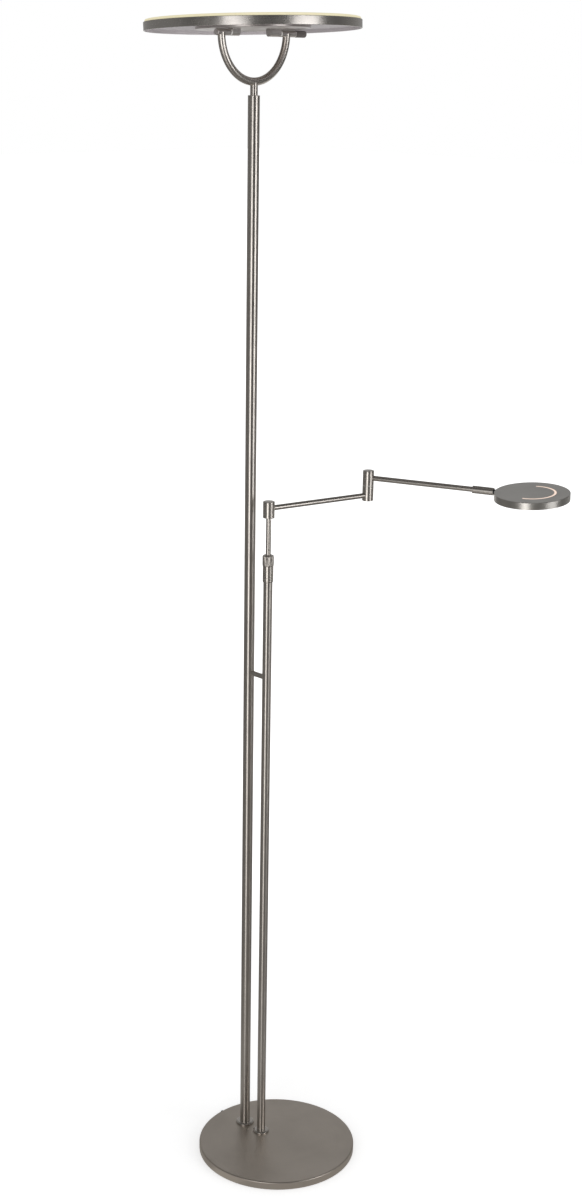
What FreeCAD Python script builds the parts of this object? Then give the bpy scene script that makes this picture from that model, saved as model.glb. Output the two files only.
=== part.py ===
import FreeCAD, Part
import math
import os

# A torchiere floor lamp with a reading light, in millimetres, +Z up. The origin is the centre of the
# round base on the floor. +X runs from the main pole towards the reader pole. The main pole carries
# a fork with a disc uplighter that tilts on it, and the reader pole carries a rod that slides up and
# down, two swinging arms and a small disc reading head.

# Base: a spun steel shell over a cast weight, on a soft pad.
base_diameter = 300.0
base_height = 16.0
shell_wall = 1.2
shell_edge_radius = 2.5
shell_lift = 0.8
pad_thickness = 2.0
pad_margin = 1.5
weight_margin = 0.6
nut_pocket_diameter = 30.0
nut_pocket_depth = 5.6
nipple_diameter = 10.0
nipple_bore = 7.0
nipple_lift = 0.4
nipple_hole_gap = 0.2
washer_diameter = 26.0
washer_thickness = 1.6
nut_across_flats = 14.0
nut_height = 3.2

# Mains inlet: a bush in the rear of the shell, and the driver inside the weight.
gland_height = 7.0
gland_bore = 6.2
gland_neck_diameter = 7.8
gland_collar_diameter = 9.2
gland_collar_length = 2.0
gland_flange_diameter = 10.0
gland_flange_length = 1.5
gland_tail_diameter = 8.0
gland_tail_length = 5.0
gland_slack = 0.1
channel_width = 9.0
driver_length = 120.0
driver_width = 30.0
driver_height = 9.0
driver_x = 55.0
driver_slack = 0.5

# Poles
main_pole_inset = 61.0
main_pole_diameter = 19.0
main_pole_wall = 1.2
main_pole_joint_height = 1063.0
main_pole_top = 1899.2
pole_pitch = 45.5
reader_pole_diameter = 16.0
reader_pole_wall = 1.0
reader_pole_top = 1146.0
foot_flange_overhang = 8.0
reader_flange_overhang = 7.5
foot_flange_height = 4.0
foot_flange_chamfer = 1.5
insert_length = 18.0
nipple_grip = 14.0
coupler_length = 50.0
coupler_bore = 10.0
brace_diameter = 9.0
brace_height = 949.5

# Fits: a fixed slip fit, a running fit, and the air between curved faces that move past each other.
slip_gap = 0.05
running_gap = 0.05
air_gap = 0.3

# Wires in the poles
wire_diameter = 4.0
wire_offset = 1.4

# Two push dimmers in the rear of the main pole, one for each light
lower_button_rise = 65.0
button_pitch = 29.0
button_width = 6.6
button_length = 14.6
button_proud = 1.2
button_depth = 6.3
button_travel = 0.8
button_slack = 0.2
button_lip = 0.8
button_lip_thickness = 1.2
dimmer_end = 20.0
dimmer_board_width = 12.0
dimmer_board_thickness = 1.0
switch_side = 5.0
switch_height = 1.2
switch_gap = 0.1

# Pole top, stem and fork
bush_flange = 1.5
bush_length = 22.0
stem_diameter = 12.0
stem_wall = 1.2
stem_grip = 20.0
stem_rise = 19.9
stem_seat_bore = 9.0
fork_radius = 70.0
fork_diameter = 12.0
fork_wall = 1.2
fork_wire_hole = 6.0

# Tilt hinge: barrels on the fork's ends, and ears, pins and washers on the uplighter
barrel_diameter = 10.0
left_barrel_inner = 53.0
left_barrel_outer = 80.0
right_barrel_inner = 57.0
right_barrel_outer = 89.0
tilt_pin_diameter = 5.0
tilt_pin_head_diameter = 8.4
tilt_pin_head = 2.0
friction_washer = 2.4
friction_washer_diameter = 9.2
ear_width = 10.0
left_ear_length = 16.5
right_ear_length = 24.5
knob_diameter = 10.4
knob_length = 21.7
knob_flutes = 18
knob_flute_depth = 0.5
stud_grip = 16.0

# Uplighter: a rim around a plate, with the light board and an opal cover on top. Its sizes are
# taken level, from the hinge axis, and the whole head is then tilted to its place.
uplight_tilt = -2.5
uplight_offset = -3.1
rim_rise = 4.3
rim_diameter = 340.0
rim_height = 12.6
rim_wall = 1.8
rim_ledge = 3.2
rim_ledge_height = 1.0
pan_recess = 5.4
pan_thickness = 2.0
pan_slack = 0.2
hinge_plate_diameter = 180.0
hinge_plate_thickness = 4.2
plate_screw_circle = 140.0
plate_screw_diameter = 4.0
plate_screw_head = 7.6
plate_screw_count = 4
uplight_board_margin = 11.0
uplight_board_width = 80.0
board_thickness = 1.6
uplight_led_count = 24
led_side = 4.0
led_height = 0.8
cover_wall = 2.0
cover_proud = 2.4
cover_crown = 4.4
cover_edge = 3.0

# Reader clamp: a sleeve on the pole, a split collet and a knurled nut
sleeve_diameter = 18.5
sleeve_length = 29.1
sleeve_overlap = 23.0
sleeve_chamfer = 1.0
spigot_diameter = 14.4
spigot_length = 11.6
collet_diameter = 12.1
collet_lip_diameter = 13.8
collet_lip = 1.5
collet_cone = 3.0
collet_cone_top = 10.4
collet_slits = 3
collet_slit_width = 0.8
clamp_nut_diameter = 19.8
clamp_nut_length = 18.1
clamp_nut_crown = 2.5
clamp_nut_roof = 1.5
clamp_nut_flutes = 30
clamp_nut_flute_depth = 0.5

# Sliding rod and its stop bush
rod_diameter = 9.0
rod_wall = 1.0
rod_rise = 160.0
rod_bush_length = 20.0
rod_plug = 20.0

# Knuckle on the rod, and the elbow between the arms
rod_out = 64.8
knuckle_diameter = 20.0
knuckle_height = 28.0
lower_arm_rise = 16.0
lower_arm_angle = 79.0
lower_arm_reach = 207.7
knuckle_web_height = 11.7
web_thickness = 2.0
pivot_screw_diameter = 5.0
pivot_screw_head_diameter = 8.8
pivot_screw_head = 3.2
pivot_screw_grip = 14.0
counterbore_diameter = 10.0
cap_thickness = 2.0
cap_spigot = 3.0
cap_edge_radius = 0.8
elbow_diameter = 19.6
elbow_drop = 9.4
elbow_lower_height = 26.5
elbow_washer = 0.6
elbow_upper_height = 25.7
upper_arm_rise = 12.8
upper_arm_angle = 20.9
arm_diameter = 9.0
arm_wall = 1.0
arm_socket = 5.6

# End sleeve of the upper arm, and the neck that turns in it
end_sleeve_diameter = 13.0
end_sleeve_length = 37.3
end_sleeve_end = 230.2
end_sleeve_grip = 21.0
neck_diameter = 8.0
neck_lead = 2.0
neck_stem_diameter = 5.0
neck_stem_reach = 13.0
neck_groove_depth = 0.8
neck_groove_width = 3.6
set_screw_diameter = 3.0
set_screw_inset = 6.5
set_screw_gap = 0.3

# Reading head: a cap with a C-shaped light slot, over a light board and an opal cover. Its sizes
# are taken level, from the centre of the disc, with the neck towards -X.
head_gap = 3.8
reading_pitch = 1.25
reading_roll = 4.04
reading_diameter = 128.6
reading_height = 12.1
reading_wall = 1.8
reading_edge_radius = 0.6
slot_radius = 39.0
slot_width = 4.0
slot_half_angle = 95.0
slot_inset = 0.1
window_gap = 0.1
window_flange = 3.0
window_flange_thickness = 1.6
reading_board_margin = 0.5
reading_board_width = 15.0
reading_led_count = 18
reading_led_side = 3.0
board_sweep_beyond_slot = 54.0
reading_cover_proud = 0.9
reading_cover_crown = 0.7
reading_cover_edge = 1.2
block_length = 12.0
block_width = 16.0
block_depth = 7.2
stem_notch = 6.0

# Worked out from the sizes above
up = FreeCAD.Vector(0, 0, 1)
base_radius = base_diameter / 2
shell_inner_radius = base_radius - shell_wall
weight_radius = shell_inner_radius - weight_margin
main_pole_x = main_pole_inset - base_radius
reader_pole_x = main_pole_x + pole_pitch
weight_top = base_height - shell_wall
pocket_roof = pad_thickness + nut_pocket_depth
main_pole_radius = main_pole_diameter / 2
main_pole_inner = main_pole_radius - main_pole_wall
reader_pole_radius = reader_pole_diameter / 2
reader_pole_inner = reader_pole_radius - reader_pole_wall
main_tube_top = main_pole_top - bush_flange
wire_radius = wire_diameter / 2
button_floor = main_pole_radius + button_proud - button_depth
lip_half_width = button_width / 2 + button_lip
lip_face = math.sqrt(main_pole_inner**2 - lip_half_width**2) - slip_gap
lower_button_height = main_pole_joint_height + lower_button_rise
upper_button_height = lower_button_height + button_pitch
board_face = button_floor - button_travel - switch_gap - switch_height
dimmer_bottom = lower_button_height - dimmer_end
dimmer_top = upper_button_height + dimmer_end
stem_radius = stem_diameter / 2
stem_bottom = main_pole_top - stem_grip
fork_bottom = main_pole_top + stem_rise
hinge_height = fork_bottom + fork_radius
barrel_radius = barrel_diameter / 2
tilt_pin_radius = tilt_pin_diameter / 2
left_ear_outer = left_barrel_inner - friction_washer
right_ear_outer = right_barrel_inner - friction_washer
rim_radius = rim_diameter / 2
rim_inner = rim_radius - rim_wall
pan_bottom = rim_rise + pan_recess
pan_top = pan_bottom + pan_thickness
plate_bottom = pan_bottom - hinge_plate_thickness
rim_top = rim_rise + rim_height
cover_outer = rim_inner - pan_slack
cover_inner = cover_outer - cover_wall
uplight_board_outer = cover_inner - uplight_board_margin
uplight_board_inner = uplight_board_outer - uplight_board_width
uplight_led_radius = (uplight_board_outer + uplight_board_inner) / 2
sleeve_bottom = reader_pole_top - sleeve_overlap
sleeve_top = sleeve_bottom + sleeve_length
spigot_top = sleeve_top + spigot_length
spigot_radius = spigot_diameter / 2
clamp_nut_bottom = sleeve_top + air_gap
clamp_nut_top = clamp_nut_bottom + clamp_nut_length
rod_radius = rod_diameter / 2
knuckle_bottom = clamp_nut_top + rod_out
rod_bush_top = reader_pole_top - air_gap - rod_rise
rod_bottom = rod_bush_top - rod_bush_length
knuckle_web = knuckle_bottom + knuckle_web_height
rod_top = knuckle_web - air_gap
pivot_screw_radius = pivot_screw_diameter / 2
knuckle_top = knuckle_bottom + knuckle_height
lower_arm_height = knuckle_bottom + lower_arm_rise
elbow_bottom = lower_arm_height - elbow_drop
elbow_split = elbow_bottom + elbow_lower_height
elbow_web = elbow_split + elbow_washer
elbow_top = elbow_web + elbow_upper_height
upper_arm_height = elbow_web + upper_arm_rise
elbow_x = reader_pole_x + lower_arm_reach * math.cos(math.radians(lower_arm_angle))
elbow_y = lower_arm_reach * math.sin(math.radians(lower_arm_angle))
arm_radius = arm_diameter / 2
neck_radius = neck_diameter / 2
end_sleeve_start = end_sleeve_end - end_sleeve_length
neck_start = end_sleeve_start + end_sleeve_grip + neck_lead
set_screw_distance = end_sleeve_end - set_screw_inset
reading_radius = reading_diameter / 2
reading_reach = end_sleeve_end + head_gap + reading_radius
reading_inner = reading_radius - reading_wall
reading_top = reading_height / 2
reading_ceiling = reading_top - reading_wall
reading_board_bottom = reading_ceiling - board_thickness
reading_board_outer = reading_inner - reading_board_margin
reading_board_inner = reading_board_outer - reading_board_width
reading_led_radius = (reading_board_outer + reading_board_inner) / 2
reading_cover_radius = reading_inner - pan_slack
reading_cover_inner = reading_cover_radius - cover_wall


def point(x, y, z):
    return FreeCAD.Vector(x, y, z)


def upright(radius, bottom, top, x=0.0, y=0.0):
    """A round bar standing at (x, y)."""
    return Part.makeCylinder(radius, top - bottom, point(x, y, bottom), up)


def tube(outer, inner, bottom, top, x=0.0, y=0.0):
    """A straight tube standing at (x, y)."""
    return upright(outer, bottom, top, x, y).cut(upright(inner, bottom, top, x, y))


def crosswise(radius, start, end, x=0.0, z=0.0):
    """A round bar along Y."""
    return Part.makeCylinder(radius, end - start, point(x, start, z), point(0, 1, 0))


def box(x_low, x_high, y_low, y_high, z_low, z_high):
    corner = point(x_low, y_low, z_low)
    return Part.makeBox(x_high - x_low, y_high - y_low, z_high - z_low, corner)


def turned(profile):
    """A solid turned about Z. The profile is a closed run of (radius, height) points, where a
    nested pair of points is an arc: through the first, ending at the second."""
    edges = []
    here = profile[0]
    for step in profile[1:] + profile[:1]:
        start = point(here[0], 0, here[1])
        if isinstance(step[0], tuple):
            middle, end = (point(r, 0, z) for r, z in step)
            edges.append(Part.Arc(start, middle, end).toShape())
            here = step[1]
        else:
            edges.append(Part.makeLine(start, point(step[0], 0, step[1])))
            here = step
    face = Part.Face(Part.Wire(edges))
    return face.revolve(point(0, 0, 0), up, 360)


def moved(shape, x, y, z=0.0):
    return shape.translated(point(x, y, z))


def round_rim(solid, radius, height, fillet):
    """Round the circular edge of the given radius at the given height."""
    near = 0.001
    edges = [
        edge
        for edge in solid.Edges
        if isinstance(edge.Curve, Part.Circle)
        and abs(edge.Curve.Radius - radius) < near
        and abs(edge.Curve.Center.z - height) < near
    ]
    return solid.makeFillet(fillet, edges)


def fluted(solid, radius, depth, count, bottom, top):
    """Cut round flutes, as of a knurl, along the outside of an upright turned piece."""
    cutters = []
    for number in range(count):
        turn = 2 * math.pi * number / count
        place = radius * math.cos(turn), radius * math.sin(turn)
        cutters.append(upright(depth, bottom, top, *place))
    return solid.cut(Part.makeCompound(cutters))


def hexagon(across_flats, bottom, top, x):
    corner = across_flats / math.sqrt(3)
    turns = [math.radians(60 * side) for side in range(6)]
    corners = [point(x + corner * math.cos(t), corner * math.sin(t), bottom) for t in turns]
    face = Part.Face(Part.makePolygon(corners + corners[:1]))
    return face.extrude(point(0, 0, top - bottom))


def stadium(width, length, x_low, x_high, z):
    """An upright oblong with round ends, run along X."""
    half = (length - width) / 2
    prism = box(x_low, x_high, -width / 2, width / 2, z - half, z + half)
    for end in (z - half, z + half):
        start = point(x_low, 0, end)
        prism = prism.fuse(Part.makeCylinder(width / 2, x_high - x_low, start, point(1, 0, 0)))
    return prism.removeSplitter()


# ---- Base ----


def base_pad():
    """Soft disc that the lamp stands on, glued under the weight."""
    return upright(shell_inner_radius - pad_margin, 0, pad_thickness)


def base_shell():
    """Spun cover: a flat top, a rounded edge and a short skirt that stays off the floor."""
    inner_edge = shell_edge_radius - shell_wall
    slant = math.sqrt(0.5)
    outer_centre = base_radius - shell_edge_radius
    height_centre = base_height - shell_edge_radius
    outer_middle = (outer_centre + shell_edge_radius * slant, height_centre + shell_edge_radius * slant)
    inner_middle = (outer_centre + inner_edge * slant, height_centre + inner_edge * slant)
    shell = turned(
        [
            (0, base_height),
            (outer_centre, base_height),
            (outer_middle, (base_radius, height_centre)),
            (base_radius, shell_lift),
            (shell_inner_radius, shell_lift),
            (shell_inner_radius, height_centre),
            (inner_middle, (outer_centre, weight_top)),
            (0, weight_top),
        ]
    )
    for x in (main_pole_x, reader_pole_x):
        shell = shell.cut(nipple_hole(x))
    return shell.cut(inlet_bar(gland_neck_diameter / 2 + gland_slack))


def nipple_hole(x):
    return upright(nipple_diameter / 2 + nipple_hole_gap, 0, base_height, x)


def inlet_bar(radius):
    """A bar through the rear of the base, on the mains inlet's axis."""
    length = base_radius / 10
    start = point(-base_radius - length / 2, 0, gland_height)
    return Part.makeCylinder(radius, length, start, point(1, 0, 0))


def base_weight():
    """Cast disc that fills the shell, with pockets for the nuts, the driver and the leads."""
    weight = upright(weight_radius, pad_thickness, weight_top)
    weight = round_rim(weight, weight_radius, weight_top, shell_edge_radius)
    half_channel = channel_width / 2
    for x in (main_pole_x, reader_pole_x):
        weight = weight.cut(nipple_hole(x))
        weight = weight.cut(upright(nut_pocket_diameter / 2, pad_thickness, pocket_roof, x))
    driver_start = driver_x - driver_length / 2
    weight = weight.cut(
        box(-base_radius, driver_start, -half_channel, half_channel, pad_thickness, pocket_roof)
    )
    weight = weight.cut(driver_box(driver_slack))
    pocket = gland_collar_diameter / 2 + driver_slack
    inlet_end = gland_collar_length + channel_width - base_radius
    inlet_roof = gland_height + pocket
    return weight.cut(box(-base_radius, inlet_end, -pocket, pocket, pad_thickness, inlet_roof))


def driver_box(slack=0.0):
    half_length = driver_length / 2 + slack
    half_width = driver_width / 2 + slack
    top = pad_thickness + driver_height + slack
    return box(
        driver_x - half_length, driver_x + half_length, -half_width, half_width, pad_thickness, top
    )


def led_driver():
    """Sealed power supply for both lights, lying on the pad in the weight's pocket."""
    driver = driver_box()
    long_edges = [edge for edge in driver.Edges if abs(edge.tangentAt(edge.FirstParameter).z) > 0.9]
    return driver.makeFillet(driver_slack * 4, long_edges)


def base_nipples():
    """Hollow threaded nipples that hold the poles to the base and lead the wires up."""
    bottom = pad_thickness + nipple_lift
    top = base_height + nipple_grip
    return Part.makeCompound(
        [
            tube(nipple_diameter / 2, nipple_bore / 2, bottom, top, x)
            for x in (main_pole_x, reader_pole_x)
        ]
    )


def base_washers():
    bottom = pocket_roof - washer_thickness
    return Part.makeCompound(
        [
            tube(washer_diameter / 2, nipple_diameter / 2 + slip_gap, bottom, pocket_roof, x)
            for x in (main_pole_x, reader_pole_x)
        ]
    )


def base_lock_nuts():
    top = pocket_roof - washer_thickness
    nuts = []
    for x in (main_pole_x, reader_pole_x):
        nut = hexagon(nut_across_flats, top - nut_height, top, x)
        nuts.append(nut.cut(upright(nipple_diameter / 2, 0, base_height, x)))
    return Part.makeCompound(nuts)


def cable_gland():
    """Snap-in bush in the rear of the shell. It is turned upright and then laid along -X."""
    neck = gland_neck_diameter / 2
    wall = shell_wall + gland_slack
    flange = gland_flange_length
    bush = turned(
        [
            (gland_bore / 2, -wall - gland_collar_length),
            (gland_collar_diameter / 2, -wall - gland_collar_length),
            (gland_collar_diameter / 2, -wall),
            (neck, -wall),
            (neck, 0),
            (gland_flange_diameter / 2, 0),
            (gland_flange_diameter / 2, flange),
            (gland_tail_diameter / 2, flange),
            (gland_tail_diameter / 2 - gland_slack, flange + gland_tail_length),
            (gland_bore / 2, flange + gland_tail_length),
        ]
    )
    bush.rotate(point(0, 0, 0), point(0, 1, 0), -90)
    return moved(bush, -base_radius, 0, gland_height)


# ---- Poles ----


def foot_flange(pole_radius, overhang, x):
    """Turned ring that covers the joint between a pole and the base."""
    bore = pole_radius + 2 * slip_gap
    outer = pole_radius + overhang
    top = base_height + foot_flange_height
    ring = turned(
        [
            (bore, base_height),
            (outer, base_height),
            (outer, top - foot_flange_chamfer),
            (outer - 2 * foot_flange_chamfer, top),
            (bore, top),
        ]
    )
    return moved(ring, x, 0)


def main_foot_flange():
    return foot_flange(main_pole_radius, foot_flange_overhang, main_pole_x)


def reader_foot_flange():
    return foot_flange(reader_pole_radius, reader_flange_overhang, reader_pole_x)


def pole_inserts():
    """Threaded plugs brazed into the lower ends of the poles."""
    plugs = []
    for inner, x in ((main_pole_inner, main_pole_x), (reader_pole_inner, reader_pole_x)):
        top = base_height + insert_length
        plugs.append(tube(inner - slip_gap, nipple_diameter / 2, base_height, top, x))
    return Part.makeCompound(plugs)


def main_pole_lower():
    return tube(main_pole_radius, main_pole_inner, base_height, main_pole_joint_height, main_pole_x)


def pole_coupler():
    """Sleeve inside the joint of the two lengths of the main pole."""
    bottom = main_pole_joint_height - coupler_length / 2
    top = main_pole_joint_height + coupler_length / 2
    return tube(main_pole_inner - slip_gap, coupler_bore / 2, bottom, top, main_pole_x)


def main_pole_upper():
    pole = tube(
        main_pole_radius, main_pole_inner, main_pole_joint_height, main_tube_top, main_pole_x
    )
    for height in (upper_button_height, lower_button_height):
        pole = pole.cut(button_way(height, button_slack))
    return pole


def button_way(height, margin):
    """The oblong way of a button, wider than its cap by the margin, down to its pocket's floor."""
    width = button_width + 2 * margin
    length = button_length + 2 * margin
    rear = main_pole_radius + button_proud
    floor = board_face + switch_height
    return moved(stadium(width, length, -rear, -floor, height), main_pole_x, 0)


def reader_pole():
    return tube(reader_pole_radius, reader_pole_inner, base_height, reader_pole_top, reader_pole_x)


def cross_brace():
    """Short bar brazed between the two poles, hollowed at its ends to fit them."""
    start = point(main_pole_x, 0, brace_height)
    length = reader_pole_x - main_pole_x
    brace = Part.makeCylinder(brace_diameter / 2, length, start, point(1, 0, 0))
    low = brace_height - brace_diameter
    high = brace_height + brace_diameter
    brace = brace.cut(upright(main_pole_radius, low, high, main_pole_x))
    return brace.cut(upright(reader_pole_radius, low, high, reader_pole_x))


def pole_wires():
    """Insulated wires up the poles, each lying against one side of its nipple's bore."""
    bottom = pad_thickness + nipple_lift
    main = upright(wire_radius, bottom, stem_bottom + stem_grip, main_pole_x + wire_offset)
    reader = upright(wire_radius, bottom, base_height + insert_length, reader_pole_x + wire_offset)
    return Part.makeCompound([main, reader])


# ---- Dimmers ----


def dimmer_core():
    """The round space inside the main pole that the dimmer unit fills."""
    return upright(main_pole_inner - slip_gap, dimmer_bottom, dimmer_top, main_pole_x)


def dimmer_slab(near, far):
    """The part of that space between two distances behind the pole's axis."""
    wide = main_pole_diameter
    slab = box(main_pole_x - far, main_pole_x - near, -wide, wide, dimmer_bottom, dimmer_top)
    return dimmer_core().common(slab)


def dimmer_guide():
    """Moulded half that guides both buttons."""
    guide = dimmer_slab(board_face, main_pole_radius)
    for height in (upper_button_height, lower_button_height):
        guide = guide.cut(button_way(height, button_lip + button_slack))
        guide = guide.cut(switch_block(height, button_slack))
    return guide


def switch_block(height, slack=0.0):
    """The push switch behind a button, standing on the board."""
    half = switch_side / 2 + slack
    front = main_pole_x - board_face - switch_height
    rear = main_pole_x - board_face
    return box(front, rear, -half, half, height - half, height + half)


def dimmer_board():
    """Circuit board with its two push switches."""
    half = dimmer_board_width / 2
    front = main_pole_x - board_face
    board = box(
        front, front + dimmer_board_thickness, -half, half, dimmer_bottom, dimmer_top
    )
    switches = [switch_block(height) for height in (upper_button_height, lower_button_height)]
    return Part.makeCompound([board] + switches)


def dimmer_carrier():
    """Moulded half behind the board, with a channel for the wire."""
    carrier = dimmer_slab(-main_pole_radius, board_face - dimmer_board_thickness)
    channel = wire_radius + button_slack
    return carrier.cut(upright(channel, dimmer_bottom, dimmer_top, main_pole_x + wire_offset))


def dimmer_button(height):
    """Oblong push cap, a little proud of the pole, with a lip that keeps it behind the wall."""
    rear = main_pole_radius + button_proud
    cap = stadium(button_width, button_length, -rear, -button_floor, height)
    edges = [edge for edge in cap.Edges if edge.BoundBox.XMax < -rear + button_slack]
    cap = cap.makeFillet(button_proud / 2, edges)
    lip_width = button_width + 2 * button_lip
    lip_length = button_length + 2 * button_lip
    lip_back = lip_face - button_lip_thickness
    lip = stadium(lip_width, lip_length, -lip_face, -lip_back, height)
    return moved(cap.fuse(lip).removeSplitter(), main_pole_x, 0)


def upper_dimmer_button():
    return dimmer_button(upper_button_height)


def lower_dimmer_button():
    return dimmer_button(lower_button_height)


# ---- Pole top, stem and fork ----


def pole_top_bush():
    """Turned plug that reduces the pole to the stem. The stem stands on its inner shoulder."""
    plug = main_pole_inner - slip_gap
    bush = turned(
        [
            (stem_radius + slip_gap, main_pole_top),
            (main_pole_radius - slip_gap, main_pole_top),
            (main_pole_radius, main_pole_top - slip_gap),
            (main_pole_radius, main_tube_top),
            (plug, main_tube_top),
            (plug, main_tube_top - bush_length),
            (stem_seat_bore / 2, main_tube_top - bush_length),
            (stem_seat_bore / 2, stem_bottom),
            (stem_radius + slip_gap, stem_bottom),
        ]
    )
    return moved(bush, main_pole_x, 0)


def half_ring(radius):
    """A bent bar of the fork's centre line: a half circle hanging from the hinge axis."""
    start = point(main_pole_x, -fork_radius, hinge_height)
    wire = Part.Wire(Part.makeCircle(radius, start, up))
    centre = point(main_pole_x, 0, hinge_height)
    return Part.Face(wire).revolve(centre, point(1, 0, 0), 180)


def fork():
    """Bent tube, cut to seat on the hinge barrels, with a hole for the wire."""
    ring = half_ring(fork_diameter / 2).cut(half_ring(fork_diameter / 2 - fork_wall))
    reach = fork_radius + fork_diameter
    ring = ring.cut(crosswise(barrel_radius, -reach, reach, main_pole_x, hinge_height))
    return ring.cut(upright(fork_wire_hole / 2, fork_bottom - fork_diameter, fork_bottom, main_pole_x))


def fork_stem():
    """Tube from the bush up to the fork, cut to the fork's curve and brazed to it."""
    inner = stem_radius - stem_wall
    stem = tube(stem_radius, inner, stem_bottom, fork_bottom, main_pole_x)
    return stem.cut(half_ring(fork_diameter / 2))


def fork_barrels():
    """Hinge barrels brazed across the ends of the fork."""
    bore = tilt_pin_radius + running_gap
    barrels = []
    for start, end in (
        (-left_barrel_outer, -left_barrel_inner),
        (right_barrel_inner, right_barrel_outer),
    ):
        barrel = crosswise(barrel_radius, start, end, main_pole_x, hinge_height)
        barrels.append(barrel.cut(crosswise(bore, start, end, main_pole_x, hinge_height)))
    return Part.makeCompound(barrels)


# ---- Uplighter, level, from the hinge axis ----


def tilted(shape):
    """Tilt a piece of the uplighter about the hinge axis and put it on the fork."""
    shape.rotate(point(0, 0, 0), point(0, 1, 0), uplight_tilt)
    return moved(shape, main_pole_x, 0, hinge_height)


def uplight_turned(profile):
    return moved(turned(profile), uplight_offset, 0)


def uplight_rim():
    """Rolled hoop with a ledge inside that carries the pan."""
    ledge_inner = rim_inner - rim_ledge
    return tilted(
        uplight_turned(
            [
                (rim_radius, rim_rise),
                (rim_radius, rim_top),
                (rim_inner, rim_top),
                (rim_inner, pan_bottom),
                (ledge_inner, pan_bottom),
                (ledge_inner, pan_bottom - rim_ledge_height),
                (rim_inner, pan_bottom - rim_ledge_height),
                (rim_inner, rim_rise),
            ]
        )
    )


def screw_places():
    """Centres of the hinge plate's screws, between the ears."""
    step = 360 / plate_screw_count
    for number in range(plate_screw_count):
        turn = math.radians(step * (number + 0.5))
        radius = plate_screw_circle / 2
        yield uplight_offset + radius * math.cos(turn), radius * math.sin(turn)


def plate_screw(x, y):
    """Countersunk screw from below, through the hinge plate into the pan."""
    head = plate_screw_head / 2
    shank = plate_screw_diameter / 2
    screw = turned(
        [
            (0, plate_bottom),
            (head, plate_bottom),
            (shank, plate_bottom + head - shank),
            (shank, pan_top),
            (0, pan_top),
        ]
    )
    return moved(screw, x, y)


def all_plate_screws():
    return Part.makeCompound([plate_screw(x, y) for x, y in screw_places()])


def plate_screws():
    return tilted(all_plate_screws())


def uplight_pan():
    """Round plate that carries the light board and spreads its heat."""
    pan = upright(rim_inner - pan_slack, pan_bottom, pan_top, uplight_offset)
    return tilted(pan.cut(all_plate_screws()))


def hinge_plate():
    """Stiff round plate under the pan, which carries the hinge ears."""
    plate = upright(hinge_plate_diameter / 2, plate_bottom, pan_bottom, uplight_offset)
    return tilted(plate.cut(all_plate_screws()))


def hinge_ears():
    """Lugs under the hinge plate, rounded about the hinge axis."""
    ears = []
    half = ear_width / 2
    for start, end in (
        (-left_ear_outer, left_ear_length - left_ear_outer),
        (right_ear_outer - right_ear_length, right_ear_outer),
    ):
        ear = box(-half, half, start, end, 0, plate_bottom).fuse(crosswise(half, start, end))
        ear = ear.removeSplitter()
        ears.append(ear.cut(crosswise(tilt_pin_radius, start, end)))
    return tilted(Part.makeCompound(ears))


def tilt_pins():
    """The left hinge pin, with its head outboard, and the right stud, which takes the knob."""
    head_start = -left_barrel_outer - tilt_pin_head
    pin = crosswise(tilt_pin_head_diameter / 2, head_start, -left_barrel_outer)
    pin = pin.fuse(crosswise(tilt_pin_radius, -left_barrel_outer, left_ear_length - left_ear_outer))
    stud_end = right_barrel_outer + air_gap + stud_grip
    stud = crosswise(tilt_pin_radius, right_ear_outer - right_ear_length, stud_end)
    return tilted(Part.makeCompound([pin.removeSplitter(), stud]))


def friction_washers():
    washers = []
    radius = friction_washer_diameter / 2
    for start in (-left_barrel_inner, right_ear_outer):
        end = start + friction_washer
        washer = crosswise(radius, start, end)
        washers.append(washer.cut(crosswise(tilt_pin_radius, start, end)))
    return tilted(Part.makeCompound(washers))


def uplight_led_board():
    """Ring-shaped board with its light chips."""
    top = pan_top + board_thickness
    board = tube(uplight_board_outer, uplight_board_inner, pan_top, top, uplight_offset)
    chips = light_chips(uplight_led_count, uplight_led_radius, led_side, top, top + led_height)
    return tilted(Part.makeCompound([board] + [moved(chip, uplight_offset, 0) for chip in chips]))


def light_chips(count, radius, side, bottom, top, start=0.0, sweep=360.0):
    chips = []
    for number in range(count):
        turn = start + sweep * (number + 0.5) / count
        chip = box(radius - side / 2, radius + side / 2, -side / 2, side / 2, bottom, top)
        chip.rotate(point(0, 0, 0), up, turn)
        chips.append(chip)
    return chips


def uplight_cover():
    """Opal cover with a rounded edge and a low crown, standing in the rim on the pan."""
    outer = cover_outer
    inner = cover_inner
    shoulder = rim_top + cover_proud
    edge_top = shoulder + cover_edge / 2
    crown = rim_top + cover_crown
    slope_outer = outer - cover_edge
    slope_inner = inner - cover_edge / 2
    under = edge_top - cover_wall
    centre_under = crown - cover_wall
    bend = math.sqrt(0.5)
    edge_middle = (slope_outer + cover_edge * bend, shoulder + (edge_top - shoulder) * bend)
    return tilted(
        uplight_turned(
            [
                (inner, pan_top),
                (outer, pan_top),
                (outer, shoulder),
                (edge_middle, (slope_outer, edge_top)),
                (crown_middle(slope_outer, edge_top, crown), (0, crown)),
                (0, centre_under),
                (crown_middle(slope_inner, under, centre_under), (slope_inner, under)),
                (inner, under - cover_edge / 2),
            ]
        )
    )


def crown_middle(radius, edge, centre):
    """The point half way out on a shallow round crown, whose own centre is on the axis."""
    rise = centre - edge
    ball = (radius**2 + rise**2) / (2 * rise)
    height = math.copysign(math.sqrt(ball**2 - radius**2 / 4), rise)
    return radius / 2, centre - ball + height


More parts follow.
